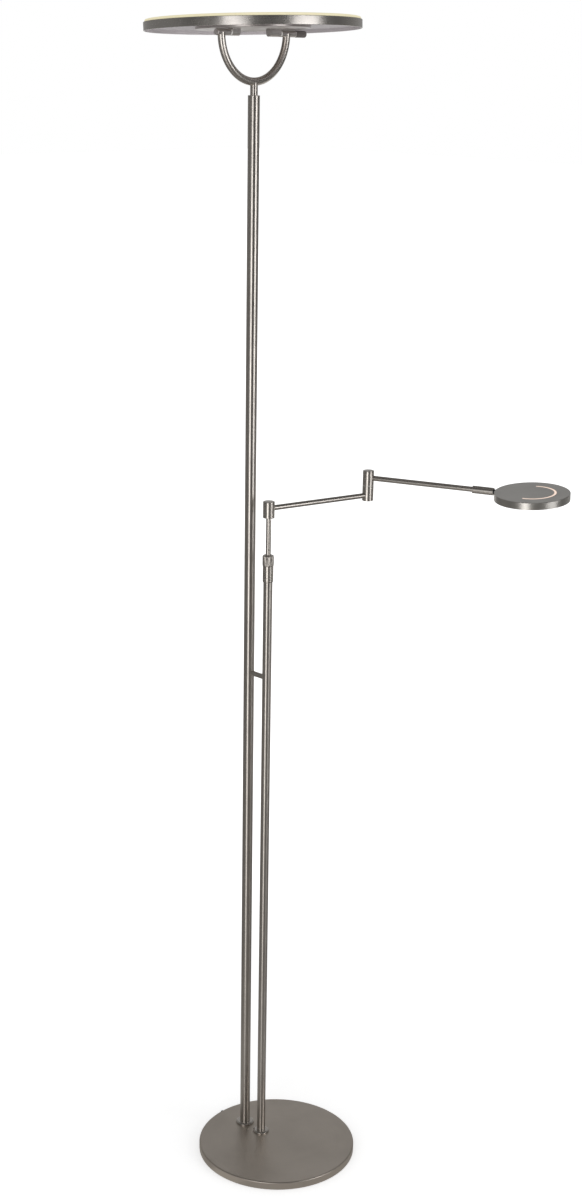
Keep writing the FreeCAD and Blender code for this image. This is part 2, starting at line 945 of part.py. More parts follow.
def tilt_knob():
    """Slim fluted knob on the stud, which clamps the hinge."""
    radius = knob_diameter / 2
    knob = turned(
        [
            (0, knob_length),
            (0, stud_grip),
            (tilt_pin_radius + running_gap, stud_grip),
            (tilt_pin_radius + running_gap, 0),
            (radius - 2 * knob_flute_depth, 0),
            (radius, 2 * knob_flute_depth),
            (radius, knob_length - 2 * knob_flute_depth),
            (radius - 2 * knob_flute_depth, knob_length),
        ]
    )
    knob = fluted(knob, radius, knob_flute_depth, knob_flutes, 0, knob_length)
    knob.rotate(point(0, 0, 0), point(1, 0, 0), -90)
    return tilted(moved(knob, 0, right_barrel_outer + air_gap))


# ---- Reader clamp and rod ----


def reader_sleeve():
    """Turned sleeve on the reader pole's end, with a threaded spigot for the nut."""
    outer = sleeve_diameter / 2
    bore = reader_pole_radius + slip_gap
    collet_bore = collet_diameter / 2 + slip_gap
    sleeve = turned(
        [
            (bore, sleeve_bottom),
            (outer - sleeve_chamfer, sleeve_bottom),
            (outer, sleeve_bottom + sleeve_chamfer),
            (outer, sleeve_top),
            (spigot_radius, sleeve_top),
            (spigot_radius, spigot_top),
            (collet_bore, spigot_top),
            (collet_bore, reader_pole_top),
            (bore, reader_pole_top),
        ]
    )
    return moved(sleeve, reader_pole_x, 0)


def rod_collet():
    """Split plastic ring that grips the rod when the nut closes on its cone."""
    bore = rod_radius + running_gap
    lip_top = spigot_top + collet_lip
    cone_top = lip_top + collet_cone
    collet = turned(
        [
            (bore, reader_pole_top),
            (collet_diameter / 2, reader_pole_top),
            (collet_diameter / 2, spigot_top),
            (collet_lip_diameter / 2, spigot_top),
            (collet_lip_diameter / 2, lip_top),
            (collet_cone_top / 2, cone_top),
            (bore, cone_top),
        ]
    )
    for number in range(collet_slits):
        half = collet_slit_width / 2
        slit = box(0, collet_lip_diameter, -half, half, sleeve_top, cone_top)
        slit.rotate(point(0, 0, 0), up, 360 * number / collet_slits)
        collet = collet.cut(slit)
    return moved(collet, reader_pole_x, 0)


def clamp_nut():
    """Fluted nut with a rounded top, which screws onto the spigot and squeezes the collet."""
    radius = clamp_nut_diameter / 2
    lip_top = spigot_top + collet_lip + air_gap
    roof = clamp_nut_top - clamp_nut_roof
    bore = rod_radius + air_gap
    nut = turned(
        [
            (spigot_radius + running_gap, clamp_nut_bottom),
            (radius, clamp_nut_bottom),
            (radius, clamp_nut_top),
            (bore, clamp_nut_top),
            (bore, roof),
            (collet_cone_top / 2 + air_gap, roof),
            (spigot_radius + running_gap, lip_top),
        ]
    )
    nut = round_rim(nut, radius, clamp_nut_top, clamp_nut_crown)
    flute_top = clamp_nut_top - clamp_nut_crown / 2
    nut = fluted(
        nut, radius, clamp_nut_flute_depth, clamp_nut_flutes, clamp_nut_bottom, flute_top
    )
    return moved(nut, reader_pole_x, 0)


def reader_rod():
    """Sliding tube with a brazed plug in its top, drilled for the pivot screw."""
    rod = upright(rod_radius, rod_bottom, rod_top, reader_pole_x)
    rod = rod.cut(upright(rod_radius - rod_wall, rod_bottom, rod_top - rod_plug, reader_pole_x))
    return rod.cut(
        upright(pivot_screw_radius, rod_top - pivot_screw_grip, rod_top, reader_pole_x)
    )


def rod_bush():
    """Plastic bush on the rod's lower end. It guides the rod and stops it at the sleeve."""
    outer = reader_pole_inner - running_gap
    return tube(outer, rod_radius, rod_bottom, rod_bush_top, reader_pole_x)


def pivot_screw(web_bottom, web_top, drop, x, y):
    """Shouldered screw through a knuckle's web, with its head in the counterbore."""
    screw = upright(pivot_screw_radius, web_bottom - drop, web_top, x, y)
    head = upright(pivot_screw_head_diameter / 2, web_top, web_top + pivot_screw_head, x, y)
    return screw.fuse(head).removeSplitter()


def rod_screw():
    """Screw that holds the knuckle down on the rod and lets it swing."""
    drop = air_gap + pivot_screw_grip
    return pivot_screw(knuckle_web, knuckle_web + web_thickness, drop, reader_pole_x, 0)


# ---- Arms ----


def arm_bar(radius, start, end, height, angle, x, y):
    """A round bar along an arm, between two distances from the upright axis at (x, y)."""
    way = point(math.cos(math.radians(angle)), math.sin(math.radians(angle)), 0)
    return Part.makeCylinder(radius, end - start, point(x, y, height) + way * start, way)


def lower_arm_bar(radius, start, end):
    return arm_bar(radius, start, end, lower_arm_height, lower_arm_angle, reader_pole_x, 0)


def upper_arm_bar(radius, start, end):
    return arm_bar(radius, start, end, upper_arm_height, upper_arm_angle, elbow_x, elbow_y)


def socket_cutter(arm, radius):
    """The hole in a knuckle that an arm is pressed into."""
    return arm(arm_radius, arm_socket, radius + arm_diameter)


def knuckle():
    """Turned body that swings on top of the rod and holds the lower arm."""
    radius = knuckle_diameter / 2
    top = knuckle_top - cap_thickness
    body = turned(
        [
            (rod_radius + running_gap, knuckle_bottom),
            (radius, knuckle_bottom),
            (radius, top),
            (counterbore_diameter / 2, top),
            (counterbore_diameter / 2, knuckle_web + web_thickness),
            (pivot_screw_radius + running_gap, knuckle_web + web_thickness),
            (pivot_screw_radius + running_gap, knuckle_web),
            (rod_radius + running_gap, knuckle_web),
        ]
    )
    body = moved(body, reader_pole_x, 0)
    return body.cut(socket_cutter(lower_arm_bar, radius))


def top_cap(radius, top, x, y):
    """Pressed cap that closes a knuckle's counterbore."""
    under = top - cap_thickness
    spigot = counterbore_diameter / 2 - slip_gap
    cap = turned(
        [
            (0, under - cap_spigot),
            (spigot, under - cap_spigot),
            (spigot, under),
            (radius, under),
            (radius, top),
            (0, top),
        ]
    )
    return moved(round_rim(cap, radius, top, cap_edge_radius), x, y)


def knuckle_cap():
    return top_cap(knuckle_diameter / 2, knuckle_top, reader_pole_x, 0)


def lower_arm():
    end = lower_arm_reach - arm_socket
    bar = lower_arm_bar(arm_radius, arm_socket, end)
    return bar.cut(lower_arm_bar(arm_radius - arm_wall, arm_socket, end))


def elbow_lower():
    """Lower half of the elbow, fixed to the lower arm and tapped for the elbow screw."""
    radius = elbow_diameter / 2
    body = upright(radius, elbow_bottom, elbow_split, elbow_x, elbow_y)
    body = round_rim(body, radius, elbow_bottom, cap_edge_radius)
    tapped = upright(
        pivot_screw_radius, elbow_split - pivot_screw_grip, elbow_split, elbow_x, elbow_y
    )
    end = lower_arm_reach - arm_socket
    socket = lower_arm_bar(arm_radius, lower_arm_reach - radius - arm_diameter, end)
    return body.cut(tapped).cut(socket)


def elbow_screw():
    """Screw from the elbow's upper half into the lower half, which the upper half turns on."""
    drop = elbow_washer + pivot_screw_grip
    return pivot_screw(elbow_web, elbow_web + web_thickness, drop, elbow_x, elbow_y)


def elbow_spacer():
    """Thin plastic washer between the elbow's halves."""
    outer = elbow_diameter / 2 - air_gap
    inner = pivot_screw_radius
    return tube(outer, inner, elbow_split, elbow_web, elbow_x, elbow_y)


def elbow_upper():
    """Upper half of the elbow, which carries the upper arm."""
    radius = elbow_diameter / 2
    top = elbow_top - cap_thickness
    web_top = elbow_web + web_thickness
    body = turned(
        [
            (pivot_screw_radius + running_gap, elbow_web),
            (radius, elbow_web),
            (radius, top),
            (counterbore_diameter / 2, top),
            (counterbore_diameter / 2, web_top),
            (pivot_screw_radius + running_gap, web_top),
        ]
    )
    return moved(body, elbow_x, elbow_y).cut(socket_cutter(upper_arm_bar, radius))


def elbow_cap():
    return top_cap(elbow_diameter / 2, elbow_top, elbow_x, elbow_y)


def upper_arm():
    end = end_sleeve_start + end_sleeve_grip
    bar = upper_arm_bar(arm_radius, arm_socket, end)
    return bar.cut(upper_arm_bar(arm_radius - arm_wall, arm_socket, end))


def arm_end_sleeve():
    """Turned sleeve on the upper arm's end, in which the reading head's neck turns."""
    grip_end = end_sleeve_start + end_sleeve_grip
    sleeve = upper_arm_bar(end_sleeve_diameter / 2, end_sleeve_start, end_sleeve_end)
    sleeve = sleeve.cut(upper_arm_bar(arm_radius, end_sleeve_start, grip_end))
    sleeve = sleeve.cut(upper_arm_bar(neck_radius + running_gap, grip_end, end_sleeve_end))
    return sleeve.cut(neck_set_screw())


def neck_set_screw():
    """Headless screw under the sleeve. Its tip runs in the neck's groove and keeps the neck in."""
    way = math.radians(upper_arm_angle)
    x = elbow_x + set_screw_distance * math.cos(way)
    y = elbow_y + set_screw_distance * math.sin(way)
    bottom = upper_arm_height - end_sleeve_diameter / 2 + slip_gap
    tip = upper_arm_height - neck_radius + neck_groove_depth - set_screw_gap
    return upright(set_screw_diameter / 2, bottom, tip, x, y)


# ---- Reading head ----


def head_placed(shape):
    """Put a piece of the reading head on the end of the upper arm, rolled and pitched as it is set."""
    shape.rotate(point(0, 0, 0), point(1, 0, 0), reading_roll)
    shape.rotate(point(0, 0, 0), point(0, 1, 0), -reading_pitch)
    shape.rotate(point(0, 0, 0), up, upper_arm_angle)
    way = math.radians(upper_arm_angle)
    x = elbow_x + reading_reach * math.cos(way)
    y = elbow_y + reading_reach * math.sin(way)
    return moved(shape, x, y, upper_arm_height)


def slot_piece(half_width, half_angle, bottom, top):
    """A C-shaped bar on the slot's circle, with round ends, open towards the neck."""
    bar = tube(slot_radius + half_width, slot_radius - half_width, bottom, top)
    reach = reading_diameter
    gap_angle = 180 - half_angle
    wedge_points = [point(0, 0, bottom)]
    for turn in (180 - gap_angle, 180, 180 + gap_angle):
        angle = math.radians(turn)
        wedge_points.append(point(reach * math.cos(angle), reach * math.sin(angle), bottom))
    wedge = Part.Face(Part.makePolygon(wedge_points + wedge_points[:1]))
    bar = bar.cut(wedge.extrude(point(0, 0, top - bottom)))
    for side in (1, -1):
        angle = math.radians(side * half_angle)
        end = slot_radius * math.cos(angle), slot_radius * math.sin(angle)
        bar = bar.fuse(upright(half_width, bottom, top, *end))
    return bar.removeSplitter()


def head_neck():
    """Dark pin that turns in the arm's sleeve and ends in a thin stem inside the head."""
    rim_distance = reading_reach - reading_radius
    neck = upper_arm_bar(neck_radius, neck_start, reading_reach)
    groove_start = set_screw_distance - neck_groove_width / 2
    groove_end = set_screw_distance + neck_groove_width / 2
    groove = upper_arm_bar(neck_diameter, groove_start, groove_end)
    groove = groove.cut(upper_arm_bar(neck_radius - neck_groove_depth, groove_start, groove_end))
    neck = neck.cut(groove).cut(head_placed(upright(reading_radius, -neck_diameter, neck_diameter)))
    stem_start = rim_distance - neck_lead
    stem = upper_arm_bar(neck_stem_diameter / 2, stem_start, rim_distance + neck_stem_reach)
    return neck.fuse(stem).removeSplitter()


def block_space(slack=0.0):
    """The space of the block inside the cap, behind the neck."""
    half_width = block_width / 2 + slack
    near = air_gap - math.sqrt((reading_cover_inner - air_gap) ** 2 - half_width**2)
    far = near + block_length + slack
    low = reading_ceiling - block_depth
    return box(near - slack, far, -half_width, half_width, low, reading_ceiling)


def stem_way(top):
    """The way that is kept clear for the neck's stem, from the cap's rim inwards."""
    half = stem_notch / 2
    return box(-reading_radius, 0, -half, half, -half, top)


def neck_block():
    """Small block inside the cap that the neck's stem is screwed into."""
    return head_placed(block_space()).cut(head_neck())


def reading_cap():
    """Spun cap: a flat top with the light slot, and a deep rim."""
    cap = turned(
        [
            (0, reading_ceiling),
            (0, reading_top),
            (reading_radius, reading_top),
            (reading_radius, -reading_top),
            (reading_inner, -reading_top),
            (reading_inner, reading_ceiling),
        ]
    )
    cap = round_rim(cap, reading_radius, reading_top, reading_edge_radius)
    cap = cap.cut(slot_piece(slot_width / 2, slot_half_angle, reading_ceiling, reading_top))
    return head_placed(cap).cut(head_neck())


def slot_window():
    """Opal strip that fills the slot, with a flange under the cap."""
    strip_half = slot_width / 2 - window_gap
    low = reading_ceiling - window_flange_thickness
    flange = slot_piece(slot_width / 2 + window_flange, slot_half_angle, low, reading_ceiling)
    strip_top = reading_top - slot_inset
    strip = slot_piece(strip_half, slot_half_angle, reading_ceiling, strip_top)
    return head_placed(flange.fuse(strip).removeSplitter())


def reading_led_board():
    """Ring-shaped board under the cap's top, with a gap for the block, and its light chips."""
    low = reading_board_bottom
    board = tube(reading_board_outer, reading_board_inner, low, reading_ceiling)
    board = board.cut(block_space(driver_slack)).cut(stem_way(reading_ceiling))
    sweep = 2 * slot_half_angle + board_sweep_beyond_slot
    chips = light_chips(
        reading_led_count,
        reading_led_radius,
        reading_led_side,
        low - led_height,
        low,
        -sweep / 2,
        sweep,
    )
    return head_placed(Part.makeCompound([board] + chips))


def reading_cover():
    """Opal cover in the lower side of the cap, standing a little proud, with a low crown. Its wall
    reaches up to the board and is notched for the neck's stem."""
    outer = reading_cover_radius
    inner = reading_cover_inner
    top = reading_board_bottom
    edge = -reading_top - reading_cover_proud
    crown = edge - reading_cover_crown
    slope = outer - reading_cover_edge
    under = edge + cover_wall
    centre_under = crown + cover_wall
    bend = math.sqrt(0.5)
    shoulder = edge + reading_cover_edge
    edge_middle = (slope + reading_cover_edge * bend, shoulder - reading_cover_edge * bend)
    cover = turned(
        [
            (inner, top),
            (outer, top),
            (outer, shoulder),
            (edge_middle, (slope, edge)),
            (crown_middle(slope, edge, crown), (0, crown)),
            (0, centre_under),
            (crown_middle(inner, under, centre_under), (inner, under)),
        ]
    )
    return head_placed(cover.cut(stem_way(top)))


sub_parts = [
    base_pad,
    base_weight,
    base_shell,
    base_nipples,
    base_washers,
    base_lock_nuts,
    cable_gland,
    led_driver,
    main_foot_flange,
    reader_foot_flange,
    pole_inserts,
    main_pole_lower,
    pole_coupler,
    main_pole_upper,
    reader_pole,
    cross_brace,
    pole_wires,
    dimmer_guide,
    dimmer_board,
    dimmer_carrier,
    upper_dimmer_button,
    lower_dimmer_button,
    pole_top_bush,
    fork_stem,
    fork,
    fork_barrels,
    uplight_rim,
    uplight_pan,
    hinge_plate,
    plate_screws,
    hinge_ears,
    tilt_pins,
    friction_washers,
    uplight_led_board,
    uplight_cover,
    tilt_knob,
    reader_sleeve,
    rod_collet,
    clamp_nut,
    reader_rod,
    rod_bush,
    rod_screw,
    knuckle,
    knuckle_cap,
    lower_arm,
    elbow_lower,
    elbow_screw,
    elbow_spacer,
    elbow_upper,
    elbow_cap,
    upper_arm,
    arm_end_sleeve,
    neck_set_screw,
    head_neck,
    neck_block,
    reading_cap,
    slot_window,
    reading_led_board,
    reading_cover,
]

os.makedirs("parts", exist_ok=True)
for make in sub_parts:
    shape = make()
    shape.exportStep(f"parts/{make.__name__}.step")
    print(f"{make.__name__}: {len(shape.Solids)} solid(s), {shape.Volume / 1000:.2f} cm3")
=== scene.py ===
import math

import bmesh
import bpy
from mathutils import Matrix, Vector


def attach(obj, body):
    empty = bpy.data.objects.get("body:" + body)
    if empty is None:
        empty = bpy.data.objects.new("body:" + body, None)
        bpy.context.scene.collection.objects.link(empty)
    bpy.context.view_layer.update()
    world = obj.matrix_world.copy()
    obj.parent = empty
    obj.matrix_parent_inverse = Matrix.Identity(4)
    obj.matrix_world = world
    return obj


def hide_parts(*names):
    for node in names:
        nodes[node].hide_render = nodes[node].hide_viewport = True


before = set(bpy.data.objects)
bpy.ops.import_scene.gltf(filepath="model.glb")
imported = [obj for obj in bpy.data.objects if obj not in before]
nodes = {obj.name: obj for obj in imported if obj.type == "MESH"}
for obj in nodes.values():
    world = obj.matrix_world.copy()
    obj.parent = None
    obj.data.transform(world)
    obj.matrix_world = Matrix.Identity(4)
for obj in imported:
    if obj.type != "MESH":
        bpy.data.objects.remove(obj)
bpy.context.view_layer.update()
scene = bpy.context.scene

# ---- Camera ----
# Stands in front of the lamp and to its right, at the height of the uplighter,
# and looks down a little, as the photographer's did.
camera_data = bpy.data.cameras.new("camera")
camera_data.lens = 54.52
camera_data.shift_y = 0.2
camera = bpy.data.objects.new("camera", camera_data)
camera.location = (2.139746, -2.138527, 1.956851)
camera.rotation_euler = [math.radians(angle) for angle in (66.66777, -1.00301, 45.11997)]
scene.collection.objects.link(camera)
scene.camera = camera
scene.view_settings.view_transform = "Standard"

# ---- Studio ----
# White surroundings to the eye, and an even grey level of light on the lamp itself. The metal
# mirrors other surroundings, glowing ones that paint its reflections, which come after the panels.
even_light = 0.55


def worked(tree, operation, *sources):
    """The result of a Math node that works on the sources."""
    step = tree.nodes.new("ShaderNodeMath")
    step.operation = operation
    for socket, source in zip(step.inputs, sources):
        tree.links.new(source, socket)
    return step.outputs[0]


def ranged(tree, source, low, high, start, end, way="LINEAR"):
    """Goes from start to end while the source goes from low to high."""
    span = tree.nodes.new("ShaderNodeMapRange")
    span.interpolation_type = way
    ends = {"From Min": low, "From Max": high, "To Min": start, "To Max": end}
    for socket, value in ends.items():
        span.inputs[socket].default_value = value
    tree.links.new(source, span.inputs["Value"])
    return span.outputs["Result"]


def faded(tree, source, low, high, start, end):
    """As ranged, with a soft beginning and end."""
    return ranged(tree, source, low, high, start, end, way="SMOOTHSTEP")


def length(tree, source):
    """The length of a vector, which is a distance from where it is measured."""
    measure = tree.nodes.new("ShaderNodeVectorMath")
    measure.operation = "LENGTH"
    tree.links.new(source, measure.inputs[0])
    return measure.outputs["Value"]


def background_rays(tree):
    """Is 1 for rays that should meet the plain background: seen, mirrored or seen through."""
    path = tree.nodes.new("ShaderNodeLightPath")
    seen = worked(tree, "MAXIMUM", path.outputs["Is Camera Ray"], path.outputs["Is Glossy Ray"])
    return worked(tree, "MAXIMUM", seen, path.outputs["Is Transmission Ray"])


world = bpy.data.worlds.new("white_studio")
scene.world = world
world.use_nodes = True
tree = world.node_tree
level = ranged(tree, background_rays(tree), 0, 1, even_light, 1)
tree.links.new(level, tree.nodes["Background"].inputs["Strength"])
tree.nodes["Background"].inputs["Color"].default_value = (1, 1, 1, 1)

# The floor is a pale sheet that runs far past the picture. It keeps the lamp's soft
# shadow near the base and fades to white further out.
floor_width = 60
shadow_near, shadow_far = 0.15, 1.6
bpy.ops.object.select_all(action="DESELECT")
bpy.ops.mesh.primitive_plane_add(size=floor_width)
floor = bpy.context.object
floor.name = "floor"
pale_sheet = bpy.data.materials.new("pale_sheet")
pale_sheet.use_nodes = True
tree = pale_sheet.node_tree
sheet = tree.nodes["Principled BSDF"]
sheet.inputs["Base Color"].default_value = (0.8, 0.8, 0.8, 1)
sheet.inputs["Roughness"].default_value = 0.9
sheet.inputs["Specular IOR Level"].default_value = 0.1
sheet.inputs["Emission Color"].default_value = (1, 1, 1, 1)
place = tree.nodes.new("ShaderNodeTexCoord")
lift = faded(tree, length(tree, place.outputs["Object"]), shadow_near, shadow_far, 0.5, 0.9)
glow = worked(tree, "MULTIPLY", lift, background_rays(tree))
tree.links.new(glow, sheet.inputs["Emission Strength"])
floor.data.materials.append(pale_sheet)

# Two tall soft panels: one just left of the camera, which leans a little, and one well
# to its right. They make the two bright bands that run down every round part.
lamp_middle = Vector((-0.07, 0, 0))
panel_distance = 3.6
panel_top = 2.4


def soft_panel(name, azimuth, spread, foot, brightness, lean=0):
    """A panel that faces the lamp from an azimuth and fills a spread of degrees, above its foot."""
    panel_height = panel_top - foot
    width = 2 * panel_distance * math.tan(math.radians(spread / 2))
    light = bpy.data.lights.new(name, "AREA")
    light.shape = "RECTANGLE"
    light.size = width
    light.size_y = panel_height
    light.energy = brightness * math.pi * width * panel_height
    panel = bpy.data.objects.new(name, light)
    turn = math.radians(azimuth)
    away = Vector((math.cos(turn), math.sin(turn), 0))
    panel.location = lamp_middle + away * panel_distance + Vector((0, 0, foot + panel_height / 2))
    panel.rotation_euler = (math.pi / 2, math.radians(lean), turn + math.pi / 2)
    panel.visible_camera = False
    scene.collection.objects.link(panel)


soft_panel("front_panel", azimuth=-64.5, spread=25, foot=0, brightness=2.0, lean=14)
soft_panel("right_panel", azimuth=12.5, spread=29, foot=0.5, brightness=2.5)

# Painted reflections: a glowing shell that stands for the dark walls of the room, which the satin
# metal shows between the panels. Its greys are set by azimuth and height, with one painted bright
# stripe. It is mirrored only, so it neither shades the lamp nor shows behind it.
mm = 0.001
room_radius = 6
camera_azimuth = -45
wall_warmth = 0.97
ceiling_tone = (0.1, 0.1, 0.097)
bpy.ops.object.select_all(action="DESELECT")
bpy.ops.mesh.primitive_uv_sphere_add(segments=48, ring_count=24, radius=room_radius)
walls = bpy.context.object
walls.name = "painted_reflection_walls"
bpy.ops.object.mode_set(mode="EDIT")
bpy.ops.mesh.select_all(action="SELECT")
bpy.ops.mesh.bisect(plane_co=(0, 0, mm), plane_no=(0, 0, 1), clear_inner=True)
bpy.ops.object.mode_set(mode="OBJECT")


def glowing_paint(piece, name):
    """Paints a piece so that it only glows. Gives the paint's nodes and the glow."""
    paint = bpy.data.materials.new(name)
    paint.use_nodes = True
    nodes_of_paint = paint.node_tree
    nodes_of_paint.nodes.remove(nodes_of_paint.nodes["Principled BSDF"])
    glow = nodes_of_paint.nodes.new("ShaderNodeEmission")
    surface = nodes_of_paint.nodes["Material Output"].inputs["Surface"]
    nodes_of_paint.links.new(glow.outputs["Emission"], surface)
    piece.data.materials.append(paint)
    return nodes_of_paint, glow


tree, wall_glow = glowing_paint(walls, "painted_reflection_glow")
place = tree.nodes.new("ShaderNodeTexCoord")
turned_place = tree.nodes.new("ShaderNodeMapping")
turned_place.inputs["Rotation"].default_value = (0, 0, math.radians(-camera_azimuth))
tree.links.new(place.outputs["Object"], turned_place.inputs["Vector"])
parts = tree.nodes.new("ShaderNodeSeparateXYZ")
tree.links.new(turned_place.outputs["Vector"], parts.inputs["Vector"])
around = worked(tree, "ARCTAN2", parts.outputs["Y"], parts.outputs["X"])
round_share = ranged(tree, around, -math.pi, math.pi, 0, 1)


def wall_ramp(*stops):
    """A glowing grey for the painted reflections at each azimuth, in degrees from the camera's. It
    starts right behind the lamp.
    """
    tone = tree.nodes.new("ShaderNodeValToRGB")
    tree.links.new(round_share, tone.inputs["Fac"])
    for end in tone.color_ramp.elements:
        end.color = (*[stops[0][1]] * 3, 1)
    for azimuth, grey in stops[1:]:
        stop = tone.color_ramp.elements.new((azimuth + 180) / 360)
        stop.color = (grey, grey, grey * wall_warmth, 1)
    return tone.outputs["Color"]


# Painted reflection greys: low, middle (with one painted bright stripe) and upper, with a plain
# grey ceiling glow on top.
low_tone = wall_ramp(
    (180, 0.8), (-152, 0.3), (-130, 0.15), (-100, 0.11), (-60, 0.08), (0, 0.07), (70, 0.07),
    (125, 0.1), (152, 0.25),
)
middle_tone = wall_ramp(
    (180, 0.8), (-152, 0.3), (-120, 0.25), (-90, 0.3), (-66, 0.35), (-46, 0.95), (-32, 0.4),
    (0, 0.07), (70, 0.07), (125, 0.1), (152, 0.25),
)
upper_tone = wall_ramp(
    (180, 0.38), (-135, 0.24), (-92, 0.19), (-64, 0.09), (0, 0.08), (100, 0.12), (135, 0.26),
)
below_socket, above_socket, mixed_socket = 6, 7, 2
colour = low_tone
for low, high, above in ((0.8, 1.1, middle_tone), (1.5, 1.85, upper_tone), (4.2, 5.2, None)):
    blend = tree.nodes.new("ShaderNodeMix")
    blend.data_type = "RGBA"
    tree.links.new(faded(tree, parts.outputs["Z"], low, high, 0, 1), blend.inputs["Factor"])
    tree.links.new(colour, blend.inputs[below_socket])
    if above:
        tree.links.new(above, blend.inputs[above_socket])
    else:
        blend.inputs[above_socket].default_value = (*ceiling_tone, 1)
    colour = blend.outputs[mixed_socket]
tree.links.new(colour, wall_glow.inputs["Color"])

# A grey cloth lies on the floor, seen only in reflections, and the metal mirrors it in place of the
# sheet: its glow is painted reflection. A wedge towards the front panel glows lighter, a painted
# pool of light, and its far end behind the lamp glows lighter too.
cloth_radius = 5.9
cloth_lift = 0.0003
painted_beam_azimuth = -64
bpy.ops.object.select_all(action="DESELECT")
bpy.ops.mesh.primitive_circle_add(
    vertices=96, radius=cloth_radius, fill_type="NGON", location=(0, 0, cloth_lift)
)
cloth = bpy.context.object
cloth.name = "painted_reflection_cloth"


def place_from(tree, middle, turn):
    """Object coordinates, measured from a middle along turned axes."""
    place = tree.nodes.new("ShaderNodeTexCoord")
    centred = tree.nodes.new("ShaderNodeMapping")
    centred.vector_type = "TEXTURE"
    centred.inputs["Location"].default_value = middle
    centred.inputs["Rotation"].default_value = turn
    tree.links.new(place.outputs["Object"], centred.inputs["Vector"])
    return centred.outputs["Vector"]


tree, cloth_glow = glowing_paint(cloth, "painted_reflection_cloth_glow")
aimed = place_from(tree, lamp_middle, (0, 0, math.radians(painted_beam_azimuth)))
distance = length(tree, aimed)
parts = tree.nodes.new("ShaderNodeSeparateXYZ")
tree.links.new(aimed, parts.inputs["Vector"])
around = worked(tree, "ARCTAN2", parts.outputs["Y"], parts.outputs["X"])
aside = worked(tree, "ABSOLUTE", around)
# Painted reflection grey, lighter near the lamp; then a painted pool of light in a wedge towards
# the front panel, and a painted lighter far end behind the lamp.
plain = faded(tree, distance, 0.25, 0.6, 0.33, 0.17)
painted_beam = faded(tree, aside, math.radians(8), math.radians(15), 1, 0)
painted_beam_reach = faded(tree, distance, 0.25, 1.4, 0.1, 1.1)
behind = faded(tree, aside, math.radians(125), math.radians(150), 0, 1)
far = faded(tree, distance, 1.0, 3.5, 0, 0.5)
wedge = worked(tree, "MULTIPLY", painted_beam, painted_beam_reach)
painted_glow = worked(tree, "ADD", wedge, worked(tree, "MULTIPLY", behind, far))
tree.links.new(worked(tree, "ADD", plain, painted_glow), cloth_glow.inputs["Strength"])
cloth_glow.inputs["Color"].default_value = (1, 0.975, 0.93, 1)
for mirrored in (walls, cloth):
    mirrored.visible_camera = False
    mirrored.visible_diffuse = False
    mirrored.visible_transmission = False
    mirrored.visible_shadow = False

# ---- Base ----
# A spun steel cover over a cast disc, plated satin nickel: flat on top, with a rounded
# edge. It was polished while it turned, so its marks run in rings.
main_pole_x = -0.089
reader_pole_x = -0.0435
base_radius, base_top, base_foot, base_skin = 150, 16, 0.8, 1.2
hub_radius = 0.8


def effect_group(name, inputs, outputs):
    """A shader group with named sockets of given kinds, and the sockets inside its two ends."""
    group = bpy.data.node_groups.new(name, "ShaderNodeTree")
    for way, sockets in (("INPUT", inputs), ("OUTPUT", outputs)):
        for socket, kind in sockets.items():
            group.interface.new_socket(socket, in_out=way, socket_type="NodeSocket" + kind)
    start = group.nodes.new("NodeGroupInput").outputs
    end = group.nodes.new("NodeGroupOutput").inputs
    return group, start, end


def noise(tree, source, scale, detail):
    """The mask of a noise that follows the source."""
    texture = tree.nodes.new("ShaderNodeTexNoise")
    texture.inputs["Scale"].default_value = scale
    texture.inputs["Detail"].default_value = detail
    tree.links.new(source, texture.inputs["Vector"])
    return texture.outputs["Fac"]


def toned(tree, tone, level):
    """A tone, made lighter or darker by a level."""
    scaling = tree.nodes.new("ShaderNodeVectorMath")
    scaling.operation = "SCALE"
    tree.links.new(tone, scaling.inputs[0])
    tree.links.new(level, scaling.inputs["Scale"])
    return scaling.outputs["Vector"]


def lathe_marks():
    """Fine marks that run round an upright axis, over flat tops and round walls alike."""
    group, start, end = effect_group(
        "lathe_marks", {"Vector": "Vector", "Fineness": "Float"}, {"Marks": "Float"}
    )
    parts = group.nodes.new("ShaderNodeSeparateXYZ")
    group.links.new(start["Vector"], parts.inputs["Vector"])
    flat = group.nodes.new("ShaderNodeCombineXYZ")
    group.links.new(parts.outputs["X"], flat.inputs["X"])
    group.links.new(parts.outputs["Y"], flat.inputs["Y"])
    reach = worked(group, "ADD", length(group, flat.outputs["Vector"]), parts.outputs["Z"])
    line = worked(group, "MULTIPLY", reach, start["Fineness"])
    way = group.nodes.new("ShaderNodeVectorMath")
    way.operation = "NORMALIZE"
    group.links.new(flat.outputs["Vector"], way.inputs[0])
    apart = group.nodes.new("ShaderNodeSeparateXYZ")
    group.links.new(way.outputs["Vector"], apart.inputs["Vector"])
    ring = group.nodes.new("ShaderNodeCombineXYZ")
    for source, socket in ((line, "X"), (apart.outputs["X"], "Y"), (apart.outputs["Y"], "Z")):
        group.links.new(source, ring.inputs[socket])
    group.links.new(noise(group, ring.outputs["Vector"], scale=1, detail=2), end["Marks"])
    return group


